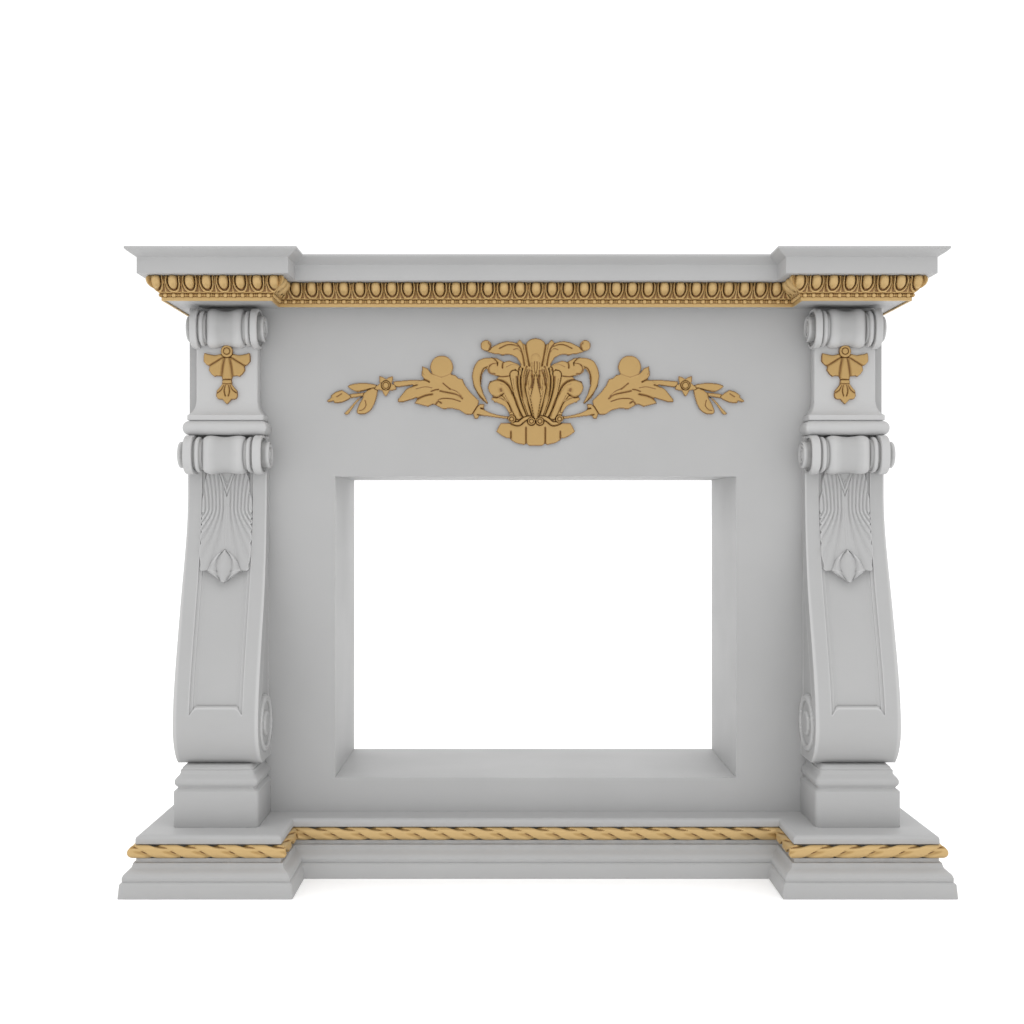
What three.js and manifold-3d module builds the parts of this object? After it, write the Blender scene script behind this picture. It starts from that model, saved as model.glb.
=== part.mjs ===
// A carved and painted chimneypiece with gilt ornament: a boxed front round a firebox
// opening, two scroll consoles on pedestals, a stepped base and a stepped cornice.
// Sizes are in millimetres. X runs to the right, Y to the back and Z up, and the origin
// is on the floor under the middle of the piece.

import * as THREE from 'three';
import { mergeVertices } from 'three/addons/utils/BufferGeometryUtils.js';
import Module from 'manifold-3d';

const wasm = await Module();
wasm.setup();

// Driving dimensions
const BACK_Y = 253;
const FACE_Y = -48;
const PANEL_HALF_WIDTH = 690;
const PANEL_THICKNESS = 22;
const LINING_THICKNESS = 18;
const OPENING_HALF_WIDTH = 400;
const OPENING_BOTTOM = 178;
const OPENING_TOP = 779;
const BASE_HEIGHT = 110.5;
const SOFFIT_HEIGHT = 1114;
const FASCIA_BOTTOM = 1156.5;
const TOTAL_HEIGHT = 1203.5;
const PILLAR_CENTRE = 608.8;
const JOINT_GAP = 0.3;

// The base and the cornice share one plan: two blocks under the pillars stand forward of
// a set-back middle. Widths are half-widths from the centre line.
const BASE_PLAN = { outer: 734.4, inner: 483.3, blockFront: -218.4, middleFront: -91.9 };
const CORNICE_PLAN = { outer: 770, inner: 448.6, blockFront: -213.1, middleFront: -139.7 };

// Materials
const PAINT = { color: 0xb5b5b4, roughness: 0.62, metalness: 0 };
const GILT = { color: 0xbf9d60, roughness: 0.45, metalness: 0.35 };

const group = new THREE.Group();

function addPart(name, geometry, look) {
  const mesh = new THREE.Mesh(geometry, new THREE.MeshStandardMaterial({ ...look }));
  mesh.name = name;
  group.add(mesh);
}

// Closed solids and their joins

function triangulateRing(ring) {
  const normal = new THREE.Vector3();
  ring.forEach((point, i) => {
    const next = ring[(i + 1) % ring.length];
    normal.x += (point.y - next.y) * (point.z + next.z);
    normal.y += (point.z - next.z) * (point.x + next.x);
    normal.z += (point.x - next.x) * (point.y + next.y);
  });
  const side = normal.clone().normalize();
  const across = new THREE.Vector3(side.y, side.z, side.x).cross(side).normalize();
  const up = side.clone().cross(across);
  const flat = ring.map((point) => new THREE.Vector2(point.dot(across), point.dot(up)));
  return THREE.ShapeUtils.triangulateShape(flat, []);
}

// Joins rings of equal length into one closed body, capped at both ends.
function loft(rings) {
  const count = rings[0].length;
  const positions = rings.flat().flatMap((point) => [point.x, point.y, point.z]);
  const indices = [];
  for (let level = 0; level + 1 < rings.length; level += 1) {
    for (let i = 0; i < count; i += 1) {
      const a = level * count + i;
      const b = level * count + ((i + 1) % count);
      indices.push(a, b, a + count, b, b + count, a + count);
    }
  }
  const lastStart = (rings.length - 1) * count;
  triangulateRing(rings[0]).forEach(([a, b, c]) => indices.push(c, b, a));
  triangulateRing(rings.at(-1)).forEach(([a, b, c]) => {
    indices.push(lastStart + a, lastStart + b, lastStart + c);
  });
  const geometry = new THREE.BufferGeometry();
  geometry.setAttribute('position', new THREE.Float32BufferAttribute(positions, 3));
  geometry.setIndex(indices);
  return geometry;
}

function signedVolume(vertices, triangles) {
  let six = 0;
  const corner = (i) => new THREE.Vector3().fromArray(vertices, triangles[i] * 3);
  for (let i = 0; i < triangles.length; i += 3) {
    six += corner(i).dot(corner(i + 1).cross(corner(i + 2)));
  }
  return six / 6;
}

function toSolid(geometry) {
  const bare = geometry.clone();
  bare.deleteAttribute('normal');
  bare.deleteAttribute('uv');
  const merged = mergeVertices(bare, 1e-3);
  const vertProperties = new Float32Array(merged.attributes.position.array);
  const triVerts = new Uint32Array(merged.index.array);
  if (signedVolume(vertProperties, triVerts) < 0) triVerts.reverse();
  return new wasm.Manifold(new wasm.Mesh({ numProp: 3, vertProperties, triVerts }));
}

function joined(geometries) {
  return geometries.map(toSolid).reduce((sum, solid) => sum.add(solid));
}

// Turns a solid back into a geometry; vertices nearer than the tolerance are merged.
function toGeometry(solid, tolerance = 0.02) {
  const mesh = solid.simplify(tolerance).getMesh();
  const geometry = new THREE.BufferGeometry();
  geometry.setAttribute('position', new THREE.BufferAttribute(mesh.vertProperties, 3));
  geometry.setIndex(new THREE.BufferAttribute(mesh.triVerts, 1));
  return geometry;
}

function mirrored(geometry) {
  const copy = geometry.clone().scale(-1, 1, 1);
  const turned = Array.from(copy.index.array);
  for (let i = 0; i < turned.length; i += 3) {
    [turned[i], turned[i + 1]] = [turned[i + 1], turned[i]];
  }
  copy.setIndex(turned);
  return copy;
}

function box(x0, x1, y0, y1, z0, z1) {
  const geometry = new THREE.BoxGeometry(x1 - x0, y1 - y0, z1 - z0);
  return geometry.translate((x0 + x1) / 2, (y0 + y1) / 2, (z0 + z1) / 2);
}

function bezier(p0, p1, p2, p3, steps) {
  const points = [p0, p1, p2, p3].map(([x, y]) => new THREE.Vector2(x, y));
  return new THREE.CubicBezierCurve(...points).getPoints(steps).map((p) => [p.x, p.y]);
}

// Plan outlines, moved out by a projection p; the back stays in the plane of the back.

function steppedPlan(plan, p, z) {
  const right = [
    [plan.inner - p, plan.middleFront - p],
    [plan.inner - p, plan.blockFront - p],
    [plan.outer + p, plan.blockFront - p],
    [plan.outer + p, BACK_Y],
  ];
  const left = right.map(([x, y]) => [-x, y]).reverse();
  return [...left, ...right].map(([x, y]) => new THREE.Vector3(x, y, z));
}

// A pier that stands on the front panel, with mouldings round its front and two sides.
function pierPlan(halfWidth, front, p, z, sideShare = 1) {
  const x = halfWidth + p * sideShare;
  const y = FACE_Y - front - p;
  const back = FACE_Y - JOINT_GAP;
  return [[-x, back], [-x, y], [x, y], [x, back]].map(
    ([px, py]) => new THREE.Vector3(PILLAR_CENTRE + px, py, z),
  );
}

// Base: a battered plinth, an ogee moulding, a channel for the rope and a slab above it.
const ROPE_RADIUS = 12.2;
const ROPE_HEIGHT = 82.2;
const ROPE_OUT = 9.5;
const ROPE_CHANNEL_OUT = -5;
const ROPE_CLEARANCE = 0.8;
const channelBottom = ROPE_HEIGHT - ROPE_RADIUS - ROPE_CLEARANCE;
const channelTop = ROPE_HEIGHT + ROPE_RADIUS + ROPE_CLEARANCE;
const BASE_LEVELS = [
  [34.6, 0],
  [32.3, 27.5],
  [21.5, 31.6],
  ...bezier([28.7, 32.4], [28.7, 43], [12.6, 48], [12.6, 60.2], 4),
  [8.4, 60.6],
  [8.4, channelBottom],
  [ROPE_CHANNEL_OUT, channelBottom],
  [ROPE_CHANNEL_OUT, channelTop],
  [9.4, channelTop],
  [9.4, 102.5],
  [6, 107.9],
  [0, BASE_HEIGHT],
];
addPart('base', loft(BASE_LEVELS.map(([p, z]) => steppedPlan(BASE_PLAN, p, z))), PAINT);

// Cornice: the shelf with its crown edge and fascia, and the core that carries the gilt runs.
const GILT_BACK = -58.2;
const SHELF_LEVELS = [
  [-18.5, FASCIA_BOTTOM],
  [-18.5, 1186.7],
  [0, 1199.9],
  [0, TOTAL_HEIGHT],
];
const CORE_LEVELS = [
  [GILT_BACK - JOINT_GAP, SOFFIT_HEIGHT],
  [GILT_BACK - JOINT_GAP, FASCIA_BOTTOM],
];
addPart('shelf', loft(SHELF_LEVELS.map(([p, z]) => steppedPlan(CORNICE_PLAN, p, z))), PAINT);
addPart('cornice_core', loft(CORE_LEVELS.map(([p, z]) => steppedPlan(CORNICE_PLAN, p, z))), PAINT);

// Front panel with the firebox opening, the four linings behind it and the side boards
function frontPanel() {
  const depth = PANEL_THICKNESS;
  const board = toSolid(
    box(-PANEL_HALF_WIDTH, PANEL_HALF_WIDTH, FACE_Y, FACE_Y + depth, BASE_HEIGHT, SOFFIT_HEIGHT),
  );
  const hole = toSolid(
    box(-OPENING_HALF_WIDTH, OPENING_HALF_WIDTH, FACE_Y - depth, FACE_Y + 2 * depth,
      OPENING_BOTTOM, OPENING_TOP),
  );
  return toGeometry(board.subtract(hole));
}
addPart('front_panel', frontPanel(), PAINT);

const MITRE_GAP = 0.15;
const behindPanel = FACE_Y + PANEL_THICKNESS;
const sideInner = PANEL_HALF_WIDTH - PANEL_THICKNESS;
const sideRight = box(sideInner, PANEL_HALF_WIDTH, behindPanel, BACK_Y,
  BASE_HEIGHT, SOFFIT_HEIGHT);

// A lining board is mitred to its neighbours, so its seen face is just one side of the
// opening. inner and outer are the ends of its seen edge and of its hidden edge.
function liningBoard(inner, outer) {
  const outline = [inner[0], inner[1], outer[1], outer[0]];
  return toGeometry(toSolid(loft([behindPanel, BACK_Y].map((y) => (
    outline.map(([x, z]) => new THREE.Vector3(x, y, z)))))));
}

function levelLining(seen, hidden) {
  const seenHalf = OPENING_HALF_WIDTH - MITRE_GAP;
  const hiddenHalf = seenHalf + LINING_THICKNESS;
  return liningBoard(
    [[-seenHalf, seen], [seenHalf, seen]],
    [[-hiddenHalf, hidden], [hiddenHalf, hidden]],
  );
}

const liningRight = liningBoard(
  [[OPENING_HALF_WIDTH, OPENING_BOTTOM + MITRE_GAP], [OPENING_HALF_WIDTH, OPENING_TOP - MITRE_GAP]],
  [
    [OPENING_HALF_WIDTH + LINING_THICKNESS, OPENING_BOTTOM - LINING_THICKNESS + MITRE_GAP],
    [OPENING_HALF_WIDTH + LINING_THICKNESS, OPENING_TOP + LINING_THICKNESS - MITRE_GAP],
  ],
);
addPart('lining_head', levelLining(OPENING_TOP, OPENING_TOP + LINING_THICKNESS), PAINT);
addPart('lining_sill', levelLining(OPENING_BOTTOM, OPENING_BOTTOM - LINING_THICKNESS), PAINT);
addPart('lining_right', liningRight, PAINT);
addPart('lining_left', mirrored(liningRight), PAINT);
addPart('side_board_right', sideRight, PAINT);
addPart('side_board_left', mirrored(sideRight), PAINT);

// Runs of moulding. Each straight length follows one side of a stepped plan and is
// mitred at its ends: a convex corner opens with the projection, a concave one closes.

const CONVEX = 1;
const CONCAVE = -1;
const SQUARE = 0;
const RUN_OVERLAP = 70;

function planRuns(plan) {
  const right = new THREE.Vector2(1, 0);
  const front = new THREE.Vector2(0, -1);
  const blockDepth = plan.middleFront - plan.blockFront;
  return {
    outer: {
      start: new THREE.Vector2(plan.outer, plan.blockFront),
      along: new THREE.Vector2(0, 1),
      out: right,
      length: BACK_Y - plan.blockFront,
      ends: [CONVEX, SQUARE],
    },
    block: {
      start: new THREE.Vector2(plan.inner, plan.blockFront),
      along: right,
      out: front,
      length: plan.outer - plan.inner,
      ends: [CONVEX, CONVEX],
    },
    inner: {
      start: new THREE.Vector2(plan.inner, plan.middleFront),
      along: front,
      out: new THREE.Vector2(-1, 0),
      length: blockDepth,
      ends: [CONCAVE, CONVEX],
    },
    middle: {
      start: new THREE.Vector2(-plan.inner, plan.middleFront),
      along: right,
      out: front,
      length: 2 * plan.inner,
      ends: [CONCAVE, CONCAVE],
    },
  };
}

// section(s) gives the moulding's outline as [p, z] points at the distance s along the run.
// The length is made past both ends, and the mitre or the square end is then cut.
function mouldingRun(run, stations, section) {
  const point = (s, p) => run.start.clone().addScaledVector(run.along, s).addScaledVector(run.out, p);
  const rings = stations.map((s) => section(s).map(([p, z]) => {
    const at = point(s, p);
    return new THREE.Vector3(at.x, at.y, z);
  }));
  const cut = (solid, inward, kind, s) => {
    const normal = inward.clone().addScaledVector(run.out, kind).normalize();
    return solid.trimByPlane([normal.x, normal.y, 0], normal.dot(point(s, 0)) + MITRE_GAP);
  };
  const long = toSolid(loft(rings));
  const started = cut(long, run.along, run.ends[0], 0);
  return toGeometry(cut(started, run.along.clone().negate(), run.ends[1], run.length));
}

// Places at a fixed step on both sides of the run's middle, past both of its ends.
function runPlaces(run, step, phase = 0) {
  const places = [];
  const reach = Math.ceil((run.length / 2 + RUN_OVERLAP) / step);
  for (let i = -reach; i <= reach; i += 1) places.push(run.length / 2 + (i + phase) * step);
  return places;
}

// Egg-and-dart with a bead bar and a fillet under it, gilt
const EGG_PITCH = 31.6;
const EGG_FLANK = 0.29;
const EGG_RELIEF = 12;
const EGG_GROUND = [[-42.5, 1156.2], [-43.5, 1146], [-49.5, 1131]];
const EGG_LIFT = [1, 1, 0.6];
const GILT_BOTTOM = 1110.6;
const BEAD_BAR = [[-50, 1126], [-55.6, GILT_BOTTOM]];

// An egg has a station on each flank, and the dart's groove between two eggs has one.
function eggRun(run, phase) {
  const eggs = runPlaces(run, EGG_PITCH, phase);
  const grooves = new Set(eggs.map((s) => s + EGG_PITCH / 2));
  const flanks = eggs.flatMap((s) => [s - EGG_PITCH * EGG_FLANK, s + EGG_PITCH * EGG_FLANK]);
  const stations = [...flanks, ...grooves].sort((a, b) => a - b);
  return mouldingRun(run, stations, (s) => {
    const lift = grooves.has(s) ? 0 : EGG_RELIEF;
    return [
      ...EGG_GROUND.map(([p, z], i) => [p + lift * EGG_LIFT[i], z]),
      ...BEAD_BAR,
      [GILT_BACK, GILT_BOTTOM],
      [GILT_BACK, FASCIA_BOTTOM - JOINT_GAP],
    ];
  });
}

const CORNICE_RUNS = planRuns(CORNICE_PLAN);
const blockEggs = eggRun(CORNICE_RUNS.block, 0.5);
const returnEggs = eggRun(CORNICE_RUNS.outer, 0);
const innerEggs = eggRun(CORNICE_RUNS.inner, 0);
addPart('egg_moulding_middle', eggRun(CORNICE_RUNS.middle, 0), GILT);
addPart('egg_moulding_block_right', blockEggs, GILT);
addPart('egg_moulding_block_left', mirrored(blockEggs), GILT);
addPart('egg_moulding_return_right', returnEggs, GILT);
addPart('egg_moulding_return_left', mirrored(returnEggs), GILT);
addPart('egg_moulding_inner_right', innerEggs, GILT);
addPart('egg_moulding_inner_left', mirrored(innerEggs), GILT);

// Rope moulding: two strands, so a ridge passes each face once in half a turn
const ROPE_LEAD = 108;
const ROPE_SIDES = 6;
const STRAND_RADII = [1, 0.87, 0.76];

function ropeSection(run, hand) {
  return (s) => {
    const step = Math.round(((s - run.length / 2) / ROPE_LEAD) * ROPE_SIDES);
    const ring = [];
    for (let i = 0; i < ROPE_SIDES; i += 1) {
      const phase = (((hand * i - step) % 3) + 3) % 3;
      const radius = ROPE_RADIUS * STRAND_RADII[phase];
      const angle = (i / ROPE_SIDES) * 2 * Math.PI;
      ring.push([ROPE_OUT + radius * Math.cos(angle), ROPE_HEIGHT + radius * Math.sin(angle)]);
    }
    return ring;
  };
}

function ropeRun(run, hand) {
  const stations = runPlaces(run, ROPE_LEAD / ROPE_SIDES);
  return mouldingRun(run, stations, ropeSection(run, hand));
}

const ROPE_RUNS = planRuns(BASE_PLAN);
const blockRope = ropeRun(ROPE_RUNS.block, 1);
const returnRope = ropeRun(ROPE_RUNS.outer, 1);
const innerRope = ropeRun(ROPE_RUNS.inner, 1);
addPart('rope_middle', ropeRun(ROPE_RUNS.middle, -1), GILT);
addPart('rope_block_right', blockRope, GILT);
addPart('rope_block_left', mirrored(blockRope), GILT);
addPart('rope_return_right', returnRope, GILT);
addPart('rope_return_left', mirrored(returnRope), GILT);
addPart('rope_inner_right', innerRope, GILT);
addPart('rope_inner_left', mirrored(innerRope), GILT);

// Pedestal: a block with a moulded cap, cut from one piece
const PEDESTAL = { halfWidth: 80.8, front: 124.1 };
const CAP_TOP = 226;
const PEDESTAL_LEVELS = [
  [0, BASE_HEIGHT],
  [0, 178.5],
  [-6.4, 184],
  [-1.3, 194],
  [-1.3, 197.5],
  [-10.3, 211],
  [-10.3, 217],
  [-18.5, 221.6],
  [-27, 222],
  [-27, CAP_TOP],
];
const pedestal = loft(
  PEDESTAL_LEVELS.map(([p, z]) => pierPlan(PEDESTAL.halfWidth, PEDESTAL.front, p, z)),
);
addPart('pedestal_right', pedestal, PAINT);
addPart('pedestal_left', mirrored(pedestal), PAINT);

// Scroll rolls. A roll lies along X; each station is [x, height radius, depth radius].
const ROLL_SIDES = 10;

function roll(axisY, axisZ, halfStations) {
  const inner = halfStations.filter(([x]) => x > 0);
  const leftHalf = inner.map(([x, rz, ry]) => [-x, rz, ry]).reverse();
  const stations = [...leftHalf, ...halfStations];
  return loft(stations.map(([x, rz, ry]) => {
    const ring = [];
    for (let i = 0; i < ROLL_SIDES; i += 1) {
      const angle = ((i + 0.5) / ROLL_SIDES) * 2 * Math.PI;
      const y = FACE_Y - axisY + ry * Math.cos(angle);
      ring.push(new THREE.Vector3(PILLAR_CENTRE + x, y, axisZ + rz * Math.sin(angle)));
    }
    return ring;
  }));
}

// From the middle out: the waist of the barrel, its lobe, a groove, a rib, a second groove,
// the end disc and the boss on the disc.
const WAIST_DEPTH_SHARE = 0.93;
const GROOVE_DEPTH_SHARE = 0.9;
const DISC_EDGE = 1;
const BOSS_EDGE = 0.5;

function rollStations({ waist, lobe, depth, lobeAt, groove, grooveAt, rib, ribAt, disc, discFrom,
  discTo, boss, bossTo }) {
  return [
    [0, waist, depth * WAIST_DEPTH_SHARE],
    [lobeAt, lobe, depth],
    [grooveAt, groove, depth * GROOVE_DEPTH_SHARE],
    [ribAt, rib, rib],
    [discFrom - DISC_EDGE, groove, groove],
    [discFrom, disc, disc],
    [discTo, disc, disc],
    [discTo + BOSS_EDGE, boss, boss],
    [bossTo, boss, boss],
  ];
}

const UPPER_ROLL = {
  waist: 34.3, lobe: 39.3, depth: 27.3, lobeAt: 26, groove: 30, grooveAt: 38, rib: 36, ribAt: 46.4,
  disc: 39.3, discFrom: 51.9, discTo: 65.4, boss: 25.3, bossTo: 75.4,
};
const LOWER_ROLL = {
  waist: 35.5, lobe: 38.5, depth: 29.3, lobeAt: 28, groove: 30, grooveAt: 41, rib: 36, ribAt: 50.2,
  disc: 39.1, discFrom: 58.8, discTo: 75.5, boss: 25.7, bossTo: 88.8,
};
const UPPER_ROLL_AXIS = { y: 28.5, z: 1071 };
const LOWER_ROLL_AXIS = { y: 40.5, z: 819 };

// Frieze console: a block with a flared foot, a torus below it and the upper roll on top
const FRIEZE = { halfWidth: 59.8, front: 29.9, sideShare: 0.92 };
const FRIEZE_TOP = 1085;
const TORUS_BOTTOM = 858.6;
const FRIEZE_LEVELS = [
  ...bezier([11, TORUS_BOTTOM], [27.5, 859.5], [27.5, 886], [11, 887], 5),
  [15.6, 888.7],
  [15.6, 893],
  ...bezier([14.5, 893.2], [5, 896], [0, 906], [0, 925.7], 4),
  [0, FRIEZE_TOP],
];
const friezeBlock = loft(FRIEZE_LEVELS.map(([p, z]) => (
  pierPlan(FRIEZE.halfWidth, FRIEZE.front, p, z, FRIEZE.sideShare))));
const behindFace = toSolid(box(
  PILLAR_CENTRE - 150, PILLAR_CENTRE + 150, FACE_Y - JOINT_GAP, FACE_Y + 150,
  BASE_HEIGHT, SOFFIT_HEIGHT,
));
const upperRoll = roll(UPPER_ROLL_AXIS.y, UPPER_ROLL_AXIS.z, rollStations(UPPER_ROLL));
const FRIEZE_TOLERANCE = 0.6;
const friezeConsole = toGeometry(
  joined([friezeBlock, upperRoll]).subtract(behindFace), FRIEZE_TOLERANCE,
);
addPart('frieze_console_right', friezeConsole, PAINT);
addPart('frieze_console_left', mirrored(friezeConsole), PAINT);

// Scroll console: the front swells in one long curve to a volute, over a flat foot
const CONSOLE_HALF_WIDTH = 80.6;
const CONSOLE_TOP = TORUS_BOTTOM - JOINT_GAP;
const CONSOLE_BOTTOM = CAP_TOP + JOINT_GAP;
const SHAFT_TOP_OUT = 25.8;
const SHAFT_CURVE_TOP = 752;
const SWELL_OUT = 126.5;
const SWELL_HEIGHT = 300;
const SWELL_RADIUS = 90;
const FOOT_STEPS = 4;
const SHAFT_STEPS = 9;
const shaftCurve = new THREE.CubicBezierCurve(
  new THREE.Vector2(SHAFT_TOP_OUT, SHAFT_CURVE_TOP),
  new THREE.Vector2(SHAFT_TOP_OUT, SHAFT_CURVE_TOP - 152),
  new THREE.Vector2(SWELL_OUT, SWELL_HEIGHT + 112),
  new THREE.Vector2(SWELL_OUT, SWELL_HEIGHT),
);

// How far the shaft's front stands out from the face at a height
function shaftOut(height) {
  if (height >= SHAFT_CURVE_TOP) return SHAFT_TOP_OUT;
  let low = 0;
  let high = 1;
  for (let i = 0; i < 30; i += 1) {
    const middle = (low + high) / 2;
    if (shaftCurve.getPoint(middle).y > height) low = middle;
    else high = middle;
  }
  return shaftCurve.getPoint(low).x;
}

function consoleBody() {
  const foot = Math.asin((SWELL_HEIGHT - CONSOLE_BOTTOM) / SWELL_RADIUS);
  const centreOut = SWELL_OUT - SWELL_RADIUS;
  const outline = [[JOINT_GAP, CONSOLE_BOTTOM]];
  for (let i = FOOT_STEPS; i > 0; i -= 1) {
    const angle = (foot * i) / FOOT_STEPS;
    outline.push([
      centreOut + SWELL_RADIUS * Math.cos(angle), SWELL_HEIGHT - SWELL_RADIUS * Math.sin(angle),
    ]);
  }
  shaftCurve.getPoints(SHAFT_STEPS).reverse().forEach((p) => outline.push([p.x, p.y]));
  outline.push([SHAFT_TOP_OUT, CONSOLE_TOP], [JOINT_GAP, CONSOLE_TOP]);
  return loft([-CONSOLE_HALF_WIDTH, CONSOLE_HALF_WIDTH].map((x) => outline.map(
    ([out, z]) => new THREE.Vector3(PILLAR_CENTRE + x, FACE_Y - out, z),
  )));
}

// Sunken panel down the front, and the sunk field behind the raised edge of each side
const SUNK_HALF_WIDTH = 50.7;
const SUNK_DEPTH = 9;
const SUNK_BOTTOM = 337;
const SUNK_BEVEL = 5;
const SUNK_RUN_OUT = 12;
const SUNK_SHALLOWEST = 0.5;
const CUTTER_REACH = 40;
const SIDE_EDGE_WIDTH = 34;
const SIDE_SUNK_DEPTH = 4;

function frontCutter() {
  const heights = [800, 740, 680, 600, 500, 400, SUNK_BOTTOM + SUNK_RUN_OUT, SUNK_BOTTOM];
  return loft(heights.map((z) => {
    const floor = z === SUNK_BOTTOM ? SUNK_SHALLOWEST : SUNK_DEPTH;
    const section = [
      [SUNK_HALF_WIDTH, -CUTTER_REACH], [SUNK_HALF_WIDTH, 0],
      [SUNK_HALF_WIDTH - SUNK_BEVEL, floor],
    ];
    const left = section.map(([x, depth]) => [-x, depth]).reverse();
    return [...section, ...left].map(([x, depth]) => (
      new THREE.Vector3(PILLAR_CENTRE + x, FACE_Y - shaftOut(z) + depth, z)));
  }));
}

function sideCutter(side) {
  const heights = [740, 680, 600, 500, 400, 365];
  const inner = CONSOLE_HALF_WIDTH - SIDE_SUNK_DEPTH;
  return loft(heights.map((z) => {
    const front = Math.max(shaftOut(z) - SIDE_EDGE_WIDTH, 4);
    const section = [[inner, front], [inner, -10], [inner + 20, -10], [inner + 20, front]];
    return section.map(([x, out]) => (
      new THREE.Vector3(PILLAR_CENTRE + side * x, FACE_Y - out, z)));
  }));
}

// Side volute of the foot: a raised rim, a sunk ring and a boss
const VOLUTE = { out: 55.8, height: 294, rim: 54, hollow: 46, boss: 24, proud: 4.3, sides: 10 };

function volute(side) {
  const stations = [
    [-3, VOLUTE.rim], [VOLUTE.proud, VOLUTE.rim], [VOLUTE.proud, VOLUTE.hollow],
    [1, VOLUTE.hollow - 2], [1, VOLUTE.boss], [VOLUTE.proud, VOLUTE.boss - 1],
  ];
  return loft(stations.map(([x, radius]) => {
    const ring = [];
    for (let i = 0; i < VOLUTE.sides; i += 1) {
      const angle = (i / VOLUTE.sides) * 2 * Math.PI;
      ring.push(new THREE.Vector3(
        PILLAR_CENTRE + side * (CONSOLE_HALF_WIDTH + x),
        FACE_Y - VOLUTE.out + radius * Math.cos(angle),
        VOLUTE.height + radius * Math.sin(angle),
      ));
    }
    return ring;
  }));
}

// A carved patch: surface(u, v) gives across, height and relief, for u and v from 0 to 1,
// and place turns that into a point. Its back is flat at the relief given by floor.
function reliefPatch(columns, rows, surface, place, floor) {
  const rings = [];
  for (let j = 0; j <= rows; j += 1) {
    const ring = [];
    for (let i = 0; i <= columns; i += 1) {
      const [x, z, relief] = surface(i / columns, j / rows);
      ring.push(place(x, z, relief));
    }
    for (let i = columns; i >= 0; i -= columns) {
      const [x, z] = surface(i / columns, j / rows);
      ring.push(place(x, z, floor));
    }
    rings.push(ring);
  }
  return loft(rings);
}

// Acanthus leaf over the top of the sunken panel, ribbed, with a swelling bud at its tip
const LEAF_TOP = 786;
const LEAF_TIP = 570;
const LEAF_WIDTHS = [45, 49, 51, 52, 53, 53, 52, 51, 37, 3];
const LEAF_BUD_ROW = 6;
const LEAF_BUD_HEIGHT = 5;
const LEAF_RIBS = [0, 7, 3, 8, 5, 9, 5, 8, 3, 7, 0];

function acanthusLeaf() {
  const rows = LEAF_WIDTHS.length - 1;
  const surface = (u, v) => {
    const row = Math.round(v * rows);
    const rib = LEAF_RIBS[Math.round(u * (LEAF_RIBS.length - 1))];
    const bud = row >= LEAF_BUD_ROW ? LEAF_BUD_HEIGHT * Math.sin(Math.PI * u) : 0;
    const z = LEAF_TOP + (LEAF_TIP - LEAF_TOP) * v;
    const relief = row === rows ? -SUNK_DEPTH / 2 : rib + bud - 1;
    return [(u - 0.5) * 2 * LEAF_WIDTHS[row], z, relief];
  };
  const place = (x, z, relief) => (
    new THREE.Vector3(PILLAR_CENTRE + x, FACE_Y - shaftOut(z) - relief, z));
  return reliefPatch(LEAF_RIBS.length - 1, rows, surface, place, -SUNK_DEPTH - 3);
}

function consoleSolid() {
  const body = toSolid(consoleBody())
    .subtract(toSolid(frontCutter()))
    .subtract(toSolid(sideCutter(1)))
    .subtract(toSolid(sideCutter(-1)));
  const lowerRoll = roll(LOWER_ROLL_AXIS.y, LOWER_ROLL_AXIS.z, rollStations(LOWER_ROLL));
  return body
    .add(toSolid(acanthusLeaf()))
    .add(toSolid(lowerRoll))
    .add(toSolid(volute(1)))
    .add(toSolid(volute(-1)))
    .subtract(behindFace);
}
const CONSOLE_TOLERANCE = 0.8;
const scrollConsole = toGeometry(consoleSolid(), CONSOLE_TOLERANCE);
addPart('console_right', scrollConsole, PAINT);
addPart('console_left', mirrored(scrollConsole), PAINT);

// Gilt ornaments are relief patches with a flat back. A stage holds where the ornament's
// own origin is and how far the surface that carries it stands out from the face.

function stagePlace(stage) {
  return (x, z, relief) => (
    new THREE.Vector3(stage.x + x, FACE_Y - stage.out - JOINT_GAP - relief, stage.z + z));
}

// A leaf-shaped blade along a curve through its points; its width and crown follow the length.
const BLADE_CROWN = [0.35, 1, 0.35];

function blade(stage, points, halfWidth, relief, { rows = 3, blunt = 0.15 } = {}) {
  const curve = new THREE.CatmullRomCurve3(points.map(([x, z]) => new THREE.Vector3(x, z, 0)));
  const surface = (u, v) => {
    const at = curve.getPoint(v);
    const tangent = curve.getTangent(v);
    const swell = blunt + (1 - blunt) * Math.sin(Math.PI * (0.12 + 0.86 * v));
    const across = (u - 0.5) * 2 * halfWidth * swell;
    const crown = relief * BLADE_CROWN[Math.round(u * 2)] * (0.55 + 0.45 * swell);
    return [at.x - tangent.y * across, at.y + tangent.x * across, crown];
  };
  return reliefPatch(2, rows, surface, stagePlace(stage), 0);
}

// A round boss with a domed face
function dome(stage, x, z, radius, relief, sides = 8) {
  const place = stagePlace(stage);
  const levels = [[1, 0], [0.72, relief]];
  return loft(levels.map(([share, height]) => {
    const ring = [];
    for (let i = 0; i < sides; i += 1) {
      const angle = (i / sides) * 2 * Math.PI;
      ring.push(place(x + radius * share * Math.cos(angle), z + radius * share * Math.sin(angle),
        height));
    }
    return ring;
  }));
}

// A fan of flutes spread round a point. start(angle) is the radius at which the flutes
// begin, and reach gives each flute edge and middle the radius at which it ends.
function fan(stage, centreZ, start, angles, reach, relief) {
  const columns = angles.length - 1;
  const surface = (u, v) => {
    const i = Math.round(u * columns);
    const angle = THREE.MathUtils.degToRad(angles[i]);
    const radius = start(angle) + (reach[i] - start(angle)) * v;
    const height = i % 2 === 1 ? relief : relief * 0.45;
    return [radius * Math.sin(angle), centreZ - radius * Math.cos(angle), height];
  };
  return reliefPatch(columns, 1, surface, stagePlace(stage), 0);
}

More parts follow.
